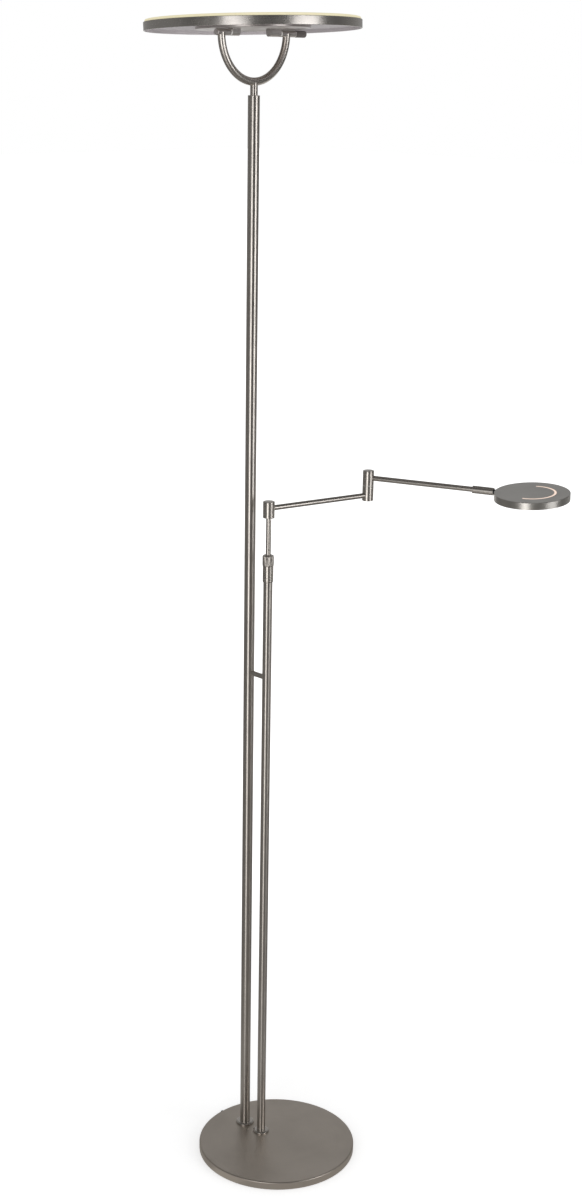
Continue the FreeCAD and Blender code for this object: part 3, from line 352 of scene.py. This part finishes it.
def satin_skin():
    """Uneven plating and handling: slow clouds of tone, faint smudges, and the marks' gloss."""
    group, start, end = effect_group(
        "satin_skin",
        {"Vector": "Vector", "Marks": "Float", "Tone": "Color", "Gloss": "Float"},
        {"Colour": "Color", "Roughness": "Float"},
    )
    clouds = noise(group, start["Vector"], scale=11, detail=3)
    cloud_level = ranged(group, clouds, 0.3, 0.7, 0.93, 1.05)
    mark_level = ranged(group, start["Marks"], 0.3, 0.7, 0.98, 1.02)
    level = worked(group, "MULTIPLY", cloud_level, mark_level)
    group.links.new(toned(group, start["Tone"], level), end["Colour"])
    smudges = noise(group, start["Vector"], scale=38, detail=4)
    smudge_level = ranged(group, smudges, 0.5, 0.75, 0, 0.07)
    mark_gloss = ranged(group, start["Marks"], 0.3, 0.7, -0.012, 0.012)
    smudged = worked(group, "ADD", start["Gloss"], smudge_level)
    group.links.new(worked(group, "ADD", smudged, mark_gloss), end["Roughness"])
    return group


marks_group = lathe_marks()
skin_group = satin_skin()


def laid_on(tree, group, source, **values):
    """Places a shader group in a material with its own values, to follow the source."""
    skin = tree.nodes.new("ShaderNodeGroup")
    skin.node_tree = group
    for socket, value in values.items():
        skin.inputs[socket].default_value = value
    tree.links.new(source, skin.inputs["Vector"])
    return skin


def dressed(tree, shader, skin, height, depth, reach):
    """Gives the shader a skin's colour and gloss, and a height's fine relief."""
    tree.links.new(skin.outputs["Colour"], shader.inputs["Base Color"])
    tree.links.new(skin.outputs["Roughness"], shader.inputs["Roughness"])
    bump = tree.nodes.new("ShaderNodeBump")
    bump.inputs["Strength"].default_value = depth
    bump.inputs["Distance"].default_value = reach
    tree.links.new(height, bump.inputs["Height"])
    tree.links.new(bump.outputs["Normal"], shader.inputs["Normal"])


def satin_metal(
    name, tone, gloss, axis=(0, 0, 0), turn=(0, 0, 0), fineness=1500, drawn=0.0, depth=0.012
):
    """Satin plated metal with marks round an axis. Drawn tubes also smear the light along it."""
    metal = bpy.data.materials.new(name)
    metal.use_nodes = True
    tree = metal.node_tree
    shader = tree.nodes["Principled BSDF"]
    shader.inputs["Metallic"].default_value = 1.0
    shader.inputs["Anisotropic"].default_value = drawn
    shader.inputs["Anisotropic Rotation"].default_value = 0.25
    centred = place_from(tree, axis, turn)
    marks = laid_on(tree, marks_group, centred, Fineness=fineness).outputs["Marks"]
    skin = laid_on(tree, skin_group, centred, Tone=(*tone, 1), Gloss=gloss)
    tree.links.new(marks, skin.inputs["Marks"])
    dressed(tree, shader, skin, marks, depth, reach=0.2 * mm)
    return metal


def finish_nodes(material, *names):
    """Gives CAD nodes a material in place of their plain one."""
    for name in names:
        for slot in nodes[name].material_slots:
            slot.material = material


same_spot = 1e-6


def select_ring(piece, radius, height):
    """Selects the ring of points at a radius and height on a turned piece, in edit mode."""
    shape = bmesh.from_edit_mesh(piece.data)
    bpy.ops.mesh.select_all(action="DESELECT")
    for point in shape.verts:
        out = math.hypot(point.co.x, point.co.y)
        off = max(abs(out - radius * mm), abs(point.co.z - height * mm))
        point.select = off < same_spot
    shape.select_flush(True)
    bmesh.update_edit_mesh(piece.data)


def turned(name, outline, facets=128, rounded=(), steps=3):
    """Draws a ring along an outline of (radius, height) in mm, as a lathe does. Rounds corners."""
    bpy.ops.object.select_all(action="DESELECT")
    radius, height = outline[0]
    bpy.ops.mesh.primitive_circle_add(vertices=facets, radius=radius * mm, location=(0, 0, 0))
    piece = bpy.context.object
    piece.name = name
    bpy.ops.object.mode_set(mode="EDIT")
    bpy.ops.mesh.select_all(action="SELECT")
    bpy.ops.transform.translate(value=(0, 0, height * mm))
    for next_radius, next_height in outline[1:]:
        climb = (next_height - height) * mm
        bpy.ops.mesh.extrude_region_move(TRANSFORM_OT_translate={"value": (0, 0, climb)})
        scale = next_radius / radius
        if scale != 1:
            ring_middle = (0, 0, next_height * mm)
            bpy.ops.transform.resize(value=(scale, scale, 1), center_override=ring_middle)
        radius, height = next_radius, next_height
    bpy.ops.mesh.select_all(action="SELECT")
    bpy.ops.mesh.remove_doubles(threshold=same_spot)
    bpy.ops.mesh.fill_holes(sides=0)
    bpy.ops.mesh.select_all(action="SELECT")
    bpy.ops.mesh.normals_make_consistent(inside=False)
    for ring_radius, ring_height, softness in rounded:
        select_ring(piece, ring_radius, ring_height)
        bpy.ops.mesh.bevel(offset=softness * mm, segments=steps, affect="EDGES")
    bpy.ops.object.mode_set(mode="OBJECT")
    return piece


def take_up(*pieces):
    """Selects these pieces alone. The first is the active one."""
    bpy.ops.object.select_all(action="DESELECT")
    for piece in pieces:
        piece.select_set(True)
    bpy.context.view_layer.objects.active = pieces[0]


def finished(piece, material, slot, body, *replaced):
    """Smooths a piece, gives it its material, hangs it on the body it rides on, and hides the nodes
    it stands for.
    """
    take_up(piece)
    bpy.ops.object.transform_apply(location=True, rotation=True, scale=True)
    bpy.ops.object.shade_smooth_by_angle(angle=math.radians(35))
    even = piece.modifiers.new("even_shading", "WEIGHTED_NORMAL")
    even.keep_sharp = True
    bpy.ops.object.modifier_apply(modifier=even.name)
    piece.data.materials.clear()
    piece.data.materials.append(material)
    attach(piece, body)
    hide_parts(*replaced)


nickel = (0.63, 0.59, 0.55)
base_metal = satin_metal("base_satin", (0.605, 0.545, 0.485), gloss=0.38, fineness=1100)
inner_radius, inner_top = base_radius - base_skin, base_top - base_skin
base_cover = turned(
    "base_cover",
    [
        (hub_radius, base_top), (base_radius, base_top), (base_radius, base_foot),
        (inner_radius, base_foot), (inner_radius, inner_top), (hub_radius, inner_top),
    ],
    facets=256,
    rounded=[
        (base_radius, base_top, 2.5), (inner_radius, inner_top, 1.2), (base_radius, base_foot, 0.3),
    ],
    steps=5,
)
finished(base_cover, base_metal, "satin_bronze", "stand", "base_shell")


def specks():
    """Fine even grit with slow clouds, for cast, moulded and painted faces."""
    group, start, end = effect_group(
        "specks",
        {"Vector": "Vector", "Tone": "Color", "Fineness": "Float", "Gloss": "Float"},
        {"Colour": "Color", "Roughness": "Float", "Height": "Float"},
    )
    grit = group.nodes.new("ShaderNodeTexNoise")
    grit.inputs["Detail"].default_value = 3
    group.links.new(start["Vector"], grit.inputs["Vector"])
    group.links.new(start["Fineness"], grit.inputs["Scale"])
    group.links.new(grit.outputs["Fac"], end["Height"])
    clouds = noise(group, start["Vector"], scale=25, detail=4)
    level = ranged(group, clouds, 0.3, 0.7, 0.94, 1.05)
    group.links.new(toned(group, start["Tone"], level), end["Colour"])
    dull = ranged(group, clouds, 0.3, 0.7, -0.03, 0.04)
    group.links.new(worked(group, "ADD", start["Gloss"], dull), end["Roughness"])
    return group


speck_group = specks()


def specked(name, tone, gloss, fineness=900, metallic=0.0, depth=0.25):
    """A cast, moulded, rolled or painted finish with fine grit."""
    finish = bpy.data.materials.new(name)
    finish.use_nodes = True
    tree = finish.node_tree
    shader = tree.nodes["Principled BSDF"]
    shader.inputs["Metallic"].default_value = metallic
    place = tree.nodes.new("ShaderNodeTexCoord").outputs["Object"]
    skin = laid_on(tree, speck_group, place, Tone=(*tone, 1), Fineness=fineness, Gloss=gloss)
    dressed(tree, shader, skin, skin.outputs["Height"], depth, reach=0.3 * mm)
    return finish


# Inside the cover: the cast disc, its rubber pad, the sealed driver, and the nipples,
# washers and lock nuts that pull both poles down.
cast_iron = specked("cast_iron", (0.1, 0.098, 0.095), 0.72, fineness=420, metallic=0.6, depth=0.6)
finish_nodes(cast_iron, "base_weight")
rubber = specked("pad_rubber", (0.035, 0.035, 0.036), 0.78, fineness=1300, depth=0.5)
finish_nodes(rubber, "base_pad")
finish_nodes(specked("driver_case", (0.78, 0.78, 0.76), 0.5, fineness=1600), "led_driver")
brass = specked("brass", (0.72, 0.53, 0.27), 0.32, fineness=1400, metallic=1.0, depth=0.1)
finish_nodes(brass, "base_nipples")
zinc = specked("zinc_plate", (0.62, 0.63, 0.64), 0.34, fineness=700, metallic=1.0, depth=0.12)
finish_nodes(zinc, "base_washers", "base_lock_nuts", "pole_inserts", "pole_coupler")
finish_nodes(specked("gland_nylon", (0.03, 0.03, 0.032), 0.48, fineness=1500), "cable_gland")

# ---- Foot flanges ----
# Low turned discs with a sloped edge. Each slides down its pole and hides the hole in
# the base.
foot_wall, foot_top, foot_slope = base_top + 2.5, base_top + 4, 3
foot_rings = ((main_pole_x, 9.5, 17.5, "main_foot"), (reader_pole_x, 8, 15.5, "reader_foot"))
for pole_x, inner, outer, foot_name in foot_rings:
    foot = turned(
        foot_name,
        [
            (inner, base_top), (outer, base_top), (outer, foot_wall),
            (outer - foot_slope, foot_top), (inner, foot_top), (inner, base_top),
        ],
        facets=96,
        rounded=[
            (outer, foot_wall, 0.35), (outer - foot_slope, foot_top, 0.35), (inner, foot_top, 0.25),
        ],
    )
    foot.location = (pole_x, 0, 0)
    foot_metal = satin_metal(foot_name + "_satin", nickel, gloss=0.27, axis=(pole_x, 0, 0))
    finished(foot, foot_metal, "satin_bronze", "stand", foot_name + "_flange")

# ---- Poles ----
# Seamed steel tubes, ground and plated. The belt ran round them, so light smears
# along each pole. The main pole is screwed together from two lengths.
main_axis = (main_pole_x, 0, 0)
reader_axis = (reader_pole_x, 0, 0)
main_pole_metal = satin_metal("main_pole_satin", nickel, gloss=0.29, axis=main_axis, drawn=0.85)
finish_nodes(main_pole_metal, "main_pole_lower", "main_pole_upper", "fork_stem")
reader_pole_metal = satin_metal(
    "reader_pole_satin", nickel, gloss=0.29, axis=reader_axis, drawn=0.85
)
finish_nodes(reader_pole_metal, "reader_pole")
rod_metal = satin_metal("rod_satin", nickel, gloss=0.24, axis=reader_axis, drawn=0.3)
finish_nodes(rod_metal, "reader_rod")

# A short bar braces the poles to each other. The leads run up inside them.
brace_height = 0.9495
along_x = (0, math.pi / 2, 0)
brace_metal = satin_metal("brace_satin", nickel, gloss=0.3, axis=(0, 0, brace_height), turn=along_x)
finish_nodes(brace_metal, "cross_brace")
finish_nodes(specked("lead_sheath", (0.7, 0.69, 0.65), 0.5, fineness=1200), "pole_wires")

# ---- Dimmer buttons ----
# Two oblong push buttons on the left of the main pole work the dimmers. They are
# moulded in black, as is the carrier that slides up inside the pole with the board.
button_plastic = specked("button_plastic", (0.035, 0.035, 0.038), 0.36, fineness=2200, depth=0.15)
finish_nodes(button_plastic, "upper_dimmer_button", "lower_dimmer_button")
carrier_plastic = specked("carrier_plastic", (0.04, 0.04, 0.042), 0.55, fineness=1500)
finish_nodes(carrier_plastic, "dimmer_guide", "dimmer_carrier")
finish_nodes(specked("board_green", (0.05, 0.2, 0.09), 0.4, fineness=900), "dimmer_board")

# ---- Pole top ----
# A turned plug steps the pole down to the stem. Its lip is a shade rounded, which
# draws a thin line round the joint.
top_bush = turned(
    "pole_top_plug",
    [
        (6.05, 1899.2), (9.5, 1899.2), (9.5, 1897.7), (8.25, 1897.7), (8.25, 1875.7),
        (4.5, 1875.7), (4.5, 1879.2), (6.05, 1879.2), (6.05, 1899.2),
    ],
    facets=96,
    rounded=[(9.5, 1899.2, 0.4), (9.5, 1897.7, 0.2)],
)
top_bush.location = main_axis
top_metal = satin_metal("pole_top_satin", nickel, gloss=0.3, axis=main_axis)
finished(top_bush, top_metal, "satin_bronze", "stand", "pole_top_bush")

# ---- Fork ----
# One tube bent to a half circle, brazed to the stem below and to a hinge barrel at
# each end, then ground smooth and plated with the rest.
hinge_height = 1.9891
hinge_middle = (main_pole_x, 0, hinge_height)
fork_radius = 0.07
fork_tube_radius = 6
fork_metal = satin_metal(
    "fork_satin", nickel, gloss=0.27, axis=hinge_middle, turn=along_x, fineness=900
)
bpy.ops.object.select_all(action="DESELECT")
bpy.ops.mesh.primitive_circle_add(
    vertices=48, radius=fork_tube_radius * mm, location=(main_pole_x, fork_radius, hinge_height)
)
fork_tube = bpy.context.object
fork_tube.name = "fork_tube"
bpy.ops.object.transform_apply(location=True, rotation=True, scale=True)
bpy.ops.object.mode_set(mode="EDIT")
bpy.ops.mesh.select_all(action="SELECT")
bpy.ops.mesh.spin(steps=96, angle=math.pi, center=hinge_middle, axis=(1, 0, 0))
bpy.ops.mesh.select_all(action="SELECT")
bpy.ops.mesh.fill_holes(sides=0)
bpy.ops.mesh.select_all(action="SELECT")
bpy.ops.mesh.normals_make_consistent(inside=False)
bpy.ops.object.mode_set(mode="OBJECT")
finished(fork_tube, fork_metal, "satin_bronze", "stand", "fork")

# The barrels: two bored bars across the fork's ends, faced and edge-broken.
# A lighter copy of the nickel plating, painted light: the barrels and the hinge ears wear it as if
# more light fell on them.
painted_lit_nickel = (0.74, 0.7, 0.685)
along_y = (math.pi / 2, 0, 0)
barrel_metal = satin_metal(
    "barrel_satin", painted_lit_nickel, gloss=0.3, axis=hinge_middle, turn=along_y, fineness=1800
)


def crosswise(piece, start):
    """Lays an upright piece along +Y on the hinge axis, with its foot at a distance in mm."""
    foot_place = Matrix.Translation((main_pole_x, start * mm, hinge_height))
    piece.matrix_world = foot_place @ Matrix.Rotation(-math.pi / 2, 4, "X")


def joined(pieces, name):
    """Makes one piece of several."""
    take_up(*pieces)
    bpy.ops.object.join()
    pieces[0].name = name
    return pieces[0]


bore, barrel_radius = 2.55, 5
barrels = []
for start, end in ((-80, -53), (57, 89)):
    run = end - start
    barrel = turned(
        "barrel",
        [(bore, 0), (barrel_radius, 0), (barrel_radius, run), (bore, run), (bore, 0)],
        facets=64,
        rounded=[(barrel_radius, 0, 0.4), (barrel_radius, run, 0.4)],
    )
    crosswise(barrel, start)
    bpy.ops.object.transform_apply(location=True, rotation=True, scale=True)
    barrels.append(barrel)
hinge_barrels = joined(barrels, "hinge_barrels")
finished(hinge_barrels, barrel_metal, "satin_bronze", "stand", "fork_barrels")
nylon = specked("white_nylon", (0.8, 0.79, 0.75), 0.4, fineness=1500, depth=0.12)
finish_nodes(nylon, "friction_washers", "rod_collet", "rod_bush", "elbow_spacer")

# ---- Uplighter ----
# Everything on the head is set out level round its own axis, then tipped with the
# head. A rolled hoop holds the pan, and the hinge ears stand on a plate under it.
uplight_tilt = math.radians(-2.5)
uplight_offset = -0.0031
uplight_place = Matrix.Translation(hinge_middle) @ Matrix.Rotation(uplight_tilt, 4, "Y")
uplight_axis = uplight_place @ Matrix.Translation((uplight_offset, 0, 0))
uplight_middle = uplight_axis.to_translation()
uplight_turn = uplight_axis.to_euler()
hoop_metal = satin_metal(
    "hoop_satin", (0.64, 0.605, 0.575), gloss=0.25, axis=uplight_middle, turn=uplight_turn,
    fineness=1300, depth=0.01,
)
hoop = turned(
    "uplight_hoop",
    [
        (170, 4.3), (170, 16.9), (168.2, 16.9), (168.2, 9.7), (165, 9.7), (165, 8.7),
        (168.2, 8.7), (168.2, 4.3), (170, 4.3),
    ],
    facets=256,
    rounded=[(170, 4.3, 0.6), (170, 16.9, 0.6), (168.2, 4.3, 0.3)],
)
hoop.matrix_world = uplight_axis
finished(hoop, hoop_metal, "satin_alloy", "uplight_head", "uplight_rim")

# The pan is an etched, clear-coated aluminium disc, paler and duller than the plating.
# The hoop was etched with it, and only its outside was polished again.
pan_skin = specked("pan_skin", (0.66, 0.62, 0.635), 0.5, fineness=1300, metallic=0.2, depth=0.0)
finish_nodes(pan_skin, "uplight_pan")
hoop.data.materials.append(pan_skin)
bpy.ops.object.mode_set(mode="EDIT")
bpy.ops.mesh.select_mode(type="FACE")
bpy.ops.mesh.select_all(action="DESELECT")
shape = bmesh.from_edit_mesh(hoop.data)
level_again = uplight_axis.inverted()
hoop_inside = 168.3
for face in shape.faces:
    middle = level_again @ face.calc_center_median()
    face.select = math.hypot(middle.x, middle.y) < hoop_inside * mm
bmesh.update_edit_mesh(hoop.data)
hoop.active_material_index = 1
bpy.ops.object.material_slot_assign()
bpy.ops.mesh.select_mode(type="VERT")
bpy.ops.object.mode_set(mode="OBJECT")

# The hinge plate is a thick disc, turned on its face, which mirrors in a fan.
plate_metal = satin_metal(
    "plate_satin", (0.6, 0.56, 0.54), gloss=0.36, axis=uplight_middle, turn=uplight_turn,
    fineness=1000, drawn=0.8,
)
plate = turned(
    "hinge_disc",
    [(0.5, 5.5), (90, 5.5), (90, 9.7), (0.5, 9.7)],
    facets=192,
    rounded=[(90, 5.5, 0.6)],
)
plate.matrix_world = uplight_axis
finished(plate, plate_metal, "satin_alloy", "uplight_head", "hinge_plate")

# Four countersunk screws hold the plate to the pan. Each head has a cross recess.
screw_circle = 0.07
head_radius, head_face, head_edge = 3.8, 5.35, 5.6
recess_length, recess_width, recess_height = 4.2, 0.9, 1.6
screws = []
for quarter in range(4):
    screw = turned(
        "screw",
        [(0.3, head_face), (head_radius, head_face), (head_radius, head_edge), (0.3, 9.6)],
        facets=32,
        rounded=[(head_radius, head_face, 0.15)],
    )
    for turn in (0, math.pi / 2):
        bpy.ops.mesh.primitive_cube_add(
            size=1, location=(0, 0, head_edge * mm), rotation=(0, 0, turn)
        )
        blade = bpy.context.object
        blade.scale = (recess_length * mm, recess_width * mm, recess_height * mm)
        bpy.ops.object.transform_apply(location=True, rotation=True, scale=True)
        recess = screw.modifiers.new("recess", "BOOLEAN")
        recess.object = blade
        recess.operation = "DIFFERENCE"
        bpy.context.view_layer.objects.active = screw
        bpy.ops.object.modifier_apply(modifier=recess.name)
        bpy.data.objects.remove(blade)
    bearing = math.radians(45 + 90 * quarter)
    out = (screw_circle * math.cos(bearing), screw_circle * math.sin(bearing), 0)
    screw.matrix_world = uplight_axis @ Matrix.Translation(out)
    screws.append(screw)
take_up(*screws)
bpy.ops.object.transform_apply(location=True, rotation=True, scale=True)
finished(joined(screws, "cross_screws"), zinc, "zinc_steel", "uplight_head", "plate_screws")
# The ears and tilt pins take the same lighter copy of the nickel: painted light.
ear_metal = satin_metal("ear_satin", painted_lit_nickel, gloss=0.32, axis=hinge_middle, turn=along_y)
finish_nodes(ear_metal, "hinge_ears", "tilt_pins")
board_paint = specked("board_white", (0.86, 0.86, 0.83), 0.45, fineness=900, depth=0.1)
finish_nodes(board_paint, "uplight_led_board", "reading_led_board")


def opal(name, axis, turn, tone, stops):
    """Milky cover over light chips. Its glow changes with the distance in mm from its middle."""
    cover = bpy.data.materials.new(name)
    cover.use_nodes = True
    tree = cover.node_tree
    shader = tree.nodes["Principled BSDF"]
    shader.inputs["Emission Strength"].default_value = 1.0
    flat = tree.nodes.new("ShaderNodeVectorMath")
    flat.operation = "MULTIPLY"
    flat.inputs[1].default_value = (1, 1, 0)
    tree.links.new(place_from(tree, axis, turn), flat.inputs[0])
    reach = stops[-1][0]
    share = ranged(tree, length(tree, flat.outputs["Vector"]), 0, reach * mm, 0, 1)
    glow = tree.nodes.new("ShaderNodeValToRGB")
    ramp = glow.color_ramp
    ramp.interpolation = "EASE"
    ramp.elements[0].color = (*stops[0][1], 1)
    ramp.elements[1].color = (*stops[-1][1], 1)
    for distance, colour in stops[1:-1]:
        ramp.elements.new(distance / reach).color = (*colour, 1)
    tree.links.new(share, glow.inputs["Fac"])
    tree.links.new(glow.outputs["Color"], shader.inputs["Emission Color"])
    place = tree.nodes.new("ShaderNodeTexCoord").outputs["Object"]
    skin = laid_on(tree, speck_group, place, Tone=(*tone, 1), Fineness=1600, Gloss=0.42)
    tree.links.new(skin.outputs["Colour"], shader.inputs["Base Color"])
    tree.links.new(skin.outputs["Roughness"], shader.inputs["Roughness"])
    return cover


# The cover over the light board: a shallow opal dish with a soft shoulder, which stands
# a few millimetres out of the hoop and glows warm.
uplight_opal = opal(
    "uplight_opal", uplight_middle, uplight_turn, (0.5, 0.48, 0.42),
    [
        (0, (0.84, 0.78, 0.64)), (75, (0.9, 0.84, 0.69)), (117, (0.95, 0.89, 0.74)),
        (152, (0.75, 0.69, 0.53)), (168, (0.48, 0.43, 0.24)),
    ],
)
cover_radius, cover_edge = 168, 19.3


def crowned(radius, height, rise):
    """The outline of a shallow crown, from its shoulder in to its middle."""
    shares = (1, 0.85, 0.65, 0.45, 0.25, 0.08, 0.004)
    return [(radius * share, height + rise * (1 - share**2)) for share in shares]


opal_dish = turned(
    "uplight_dish",
    [
        (cover_radius, 11.7), (cover_radius, cover_edge), (166.6, 20.45),
        *crowned(165, 20.8, rise=0.5),
    ],
    facets=256,
    rounded=[(cover_radius, cover_edge, 0.8)],
)
opal_dish.matrix_world = uplight_axis
finished(opal_dish, uplight_opal, "opal_cover", "uplight_head", "uplight_cover")

# ---- Tilt knob ----
# A slim fluted knob, moulded in dark grey, on the end of the right-hand stud. Turned
# home, it clamps the tilt.


def flute(piece, count, per_flute, nearest, low, high, depth):
    """Presses every few columns of a turned wall inwards, in mm, for a flute or a knurl."""
    take_up(piece)
    bpy.ops.object.mode_set(mode="EDIT")
    columns = count * per_flute
    for step in range(1, per_flute):
        share = (1 - math.cos(2 * math.pi * step / per_flute)) / 2
        shape = bmesh.from_edit_mesh(piece.data)
        bpy.ops.mesh.select_all(action="DESELECT")
        for point in shape.verts:
            out = math.hypot(point.co.x, point.co.y)
            column = round(math.atan2(point.co.y, point.co.x) / (2 * math.pi) * columns)
            inside = low * mm - same_spot < point.co.z < high * mm + same_spot
            point.select = out > nearest * mm and inside and column % per_flute == step
        shape.select_flush(True)
        bmesh.update_edit_mesh(piece.data)
        widest = max(math.hypot(v.co.x, v.co.y) for v in shape.verts)
        scale = 1 - share * depth * mm / widest
        bpy.ops.transform.resize(value=(scale, scale, 1), center_override=(0, 0, 0))
    bpy.ops.object.mode_set(mode="OBJECT")


knob = turned(
    "fluted_knob",
    [(2.55, 0), (4.4, 0), (5.2, 0.8), (5.2, 20.7), (4.2, 21.7), (0.3, 21.7)],
    facets=108,
    rounded=[(5.2, 0.8, 0.3), (5.2, 20.7, 0.5), (4.2, 21.7, 0.3)],
)
flute(knob, count=18, per_flute=6, nearest=4.6, low=1.0, high=20.0, depth=0.45)
crosswise(knob, 89.3)
knob_plastic = specked("knob_plastic", (0.13, 0.115, 0.108), 0.36, fineness=2000, depth=0.1)
finished(knob, knob_plastic, "black_knob", "tilt_knob", "tilt_knob")

# ---- Reader clamp ----
# A turned sleeve ends the reader pole. The knurled nut above it squeezes a split ring
# on to the rod.
sleeve = turned(
    "clamp_sleeve",
    [
        (8.05, 1123), (8.25, 1123), (9.25, 1124), (9.25, 1152.1), (7.2, 1152.1), (7.2, 1163.7),
        (6.1, 1163.7), (6.1, 1146), (8.05, 1146), (8.05, 1123),
    ],
    facets=96,
    rounded=[(9.25, 1124, 0.5), (9.25, 1152.1, 0.5)],
)
sleeve.location = reader_axis
sleeve_metal = satin_metal("sleeve_satin", nickel, gloss=0.27, axis=reader_axis, drawn=0.5)
finished(sleeve, sleeve_metal, "satin_bronze", "stand", "reader_sleeve")

nut = turned(
    "knurled_nut",
    [
        (7.25, 1152.4), (9.9, 1152.4), (9.9, 1170.5), (4.8, 1170.5), (4.8, 1169),
        (5.5, 1169), (7.25, 1165.5), (7.25, 1152.4),
    ],
    facets=240,
    rounded=[(9.9, 1170.5, 2.5), (9.9, 1152.4, 0.5), (4.8, 1170.5, 0.3)],
    steps=5,
)
flute(nut, count=60, per_flute=4, nearest=8.8, low=1153, high=1169.6, depth=0.4)
nut.location = reader_axis
nut_metal = satin_metal("nut_satin", nickel, gloss=0.34, axis=reader_axis, fineness=2200)
finished(nut, nut_metal, "satin_bronze", "clamp_nut", "clamp_nut")

# ---- Knuckles and arms ----
# Each knuckle is a turned barrel with a pressed-in cap over its pivot screw. The arms
# are thin tubes pressed into the barrels' sides.
finish_nodes(zinc, "rod_screw", "elbow_screw", "neck_set_screw", "neck_block")
elbow_axis = (-0.003869, 0.203884, 0)
knuckle_radius, elbow_radius, spigot_radius = 10, 9.8, 4.9


def barrel_metal_at(name, axis):
    """Satin metal for a barrel that was turned about an upright axis."""
    return satin_metal(name, nickel, gloss=0.28, axis=axis, fineness=1700, drawn=0.5)


def knuckle_barrel(name, outline, rounded, axis, material, body, node):
    """A turned barrel on an upright axis."""
    barrel = turned(name, outline, facets=96, rounded=rounded)
    barrel.location = axis
    finished(barrel, material, "satin_bronze", body, node)


def knuckle_lid(name, radius, top, axis, material, body, node):
    """A pressed cap, with the small dimple that the lathe's centre left in it."""
    seat, foot = top - 2, top - 5
    lid = turned(
        name,
        [
            (0.25, top - 0.35), (0.6, top), (radius, top), (radius, seat), (spigot_radius, seat),
            (spigot_radius, foot), (0.25, foot),
        ],
        facets=96,
        rounded=[(radius, top, 0.8), (radius, seat, 0.15)],
    )
    lid.location = axis
    finished(lid, material, "satin_bronze", body, node)


knuckle_metal = barrel_metal_at("knuckle_satin", reader_axis)
knuckle_barrel(
    "knuckle_body",
    [
        (4.55, 1235.3), (knuckle_radius, 1235.3), (knuckle_radius, 1261.25), (5, 1261.25),
        (5, 1249), (2.55, 1249), (2.55, 1247), (4.55, 1247), (4.55, 1235.3),
    ],
    [(knuckle_radius, 1235.3, 0.5), (knuckle_radius, 1261.25, 0.15)],
    reader_axis, knuckle_metal, "arm_1", "knuckle",
)
knuckle_lid(
    "knuckle_lid", knuckle_radius, 1263.3, reader_axis, knuckle_metal, "arm_1", "knuckle_cap"
)
elbow_metal = barrel_metal_at("elbow_satin", elbow_axis)
knuckle_barrel(
    "elbow_base",
    [
        (2.5, 1241.9), (elbow_radius, 1241.9), (elbow_radius, 1268.4), (2.5, 1268.4),
        (2.5, 1241.9),
    ],
    [(elbow_radius, 1241.9, 0.8), (elbow_radius, 1268.4, 0.15)],
    elbow_axis, elbow_metal, "arm_1", "elbow_lower",
)
knuckle_barrel(
    "elbow_head",
    [
        (2.55, 1269), (elbow_radius, 1269), (elbow_radius, 1292.65), (5, 1292.65), (5, 1271),
        (2.55, 1271), (2.55, 1269),
    ],
    [(elbow_radius, 1269, 0.15), (elbow_radius, 1292.65, 0.15)],
    elbow_axis, elbow_metal, "arm_2", "elbow_upper",
)
knuckle_lid("elbow_lid", elbow_radius, 1294.7, elbow_axis, elbow_metal, "arm_2", "elbow_cap")


def arm_metal(name, axis, height, bearing):
    """Satin tube along an arm that leaves an upright axis level, at a bearing in degrees."""
    along = Matrix.Rotation(math.radians(bearing), 4, "Z") @ Matrix.Rotation(math.pi / 2, 4, "Y")
    start = (axis[0], axis[1], height)
    return satin_metal(
        name, nickel, gloss=0.28, axis=start, turn=along.to_euler(), fineness=1300
    )


lower_arm_height, lower_arm_bearing = 1.2513, 79
upper_arm_height, upper_arm_bearing = 1.2818, 20.9
lower_arm_metal = arm_metal("lower_arm_satin", reader_axis, lower_arm_height, lower_arm_bearing)
finish_nodes(lower_arm_metal, "lower_arm")
upper_arm_metal = arm_metal("upper_arm_satin", elbow_axis, upper_arm_height, upper_arm_bearing)
finish_nodes(upper_arm_metal, "upper_arm", "arm_end_sleeve")
finish_nodes(specked("neck_plastic", (0.03, 0.03, 0.032), 0.4, fineness=1600), "head_neck")

# ---- Reading head ----
# A spun cap with a curved light slot in its top, and an opal cover under it. The head
# is rolled a little on its neck.
head_x, head_y = 0.27480, 0.31030
head_pitch, head_roll = -1.25, 4.04
head_place = (
    Matrix.Translation((head_x, head_y, upper_arm_height))
    @ Matrix.Rotation(math.radians(upper_arm_bearing), 4, "Z")
    @ Matrix.Rotation(math.radians(head_pitch), 4, "Y")
    @ Matrix.Rotation(math.radians(head_roll), 4, "X")
)
head_middle = head_place.to_translation()
head_turn = head_place.to_euler()
head_metal = satin_metal(
    "reading_satin", (0.6, 0.58, 0.55), gloss=0.29, axis=head_middle, turn=head_turn
)
finish_nodes(head_metal, "reading_cap")
reading_opal = opal(
    "reading_opal", head_middle, head_turn, (0.5, 0.46, 0.4),
    [
        (0, (0.75, 0.66, 0.55)), (30, (0.85, 0.76, 0.63)), (54, (1.0, 0.91, 0.78)),
        (62.5, (0.62, 0.5, 0.38)),
    ],
)
dish_radius, dish_edge = 62.3, -6.05
reading_dish = turned(
    "reading_dish",
    [
        (dish_radius, -4.5), (dish_radius, dish_edge), (62.1, -6.7),
        *crowned(61.1, -6.95, rise=-0.7),
    ],
    facets=192,
    rounded=[(dish_radius, dish_edge, 0.3)],
)
reading_dish.matrix_world = head_place
finished(reading_dish, reading_opal, "opal_cover", "reading_head", "reading_cover")
window_opal = opal(
    "window_opal", head_middle, head_turn, (0.4, 0.33, 0.28),
    [
        (0, (0.6, 0.42, 0.33)), (37, (0.68, 0.5, 0.4)), (39, (0.8, 0.64, 0.54)),
        (41, (0.68, 0.5, 0.4)),
    ],
)
finish_nodes(window_opal, "slot_window")
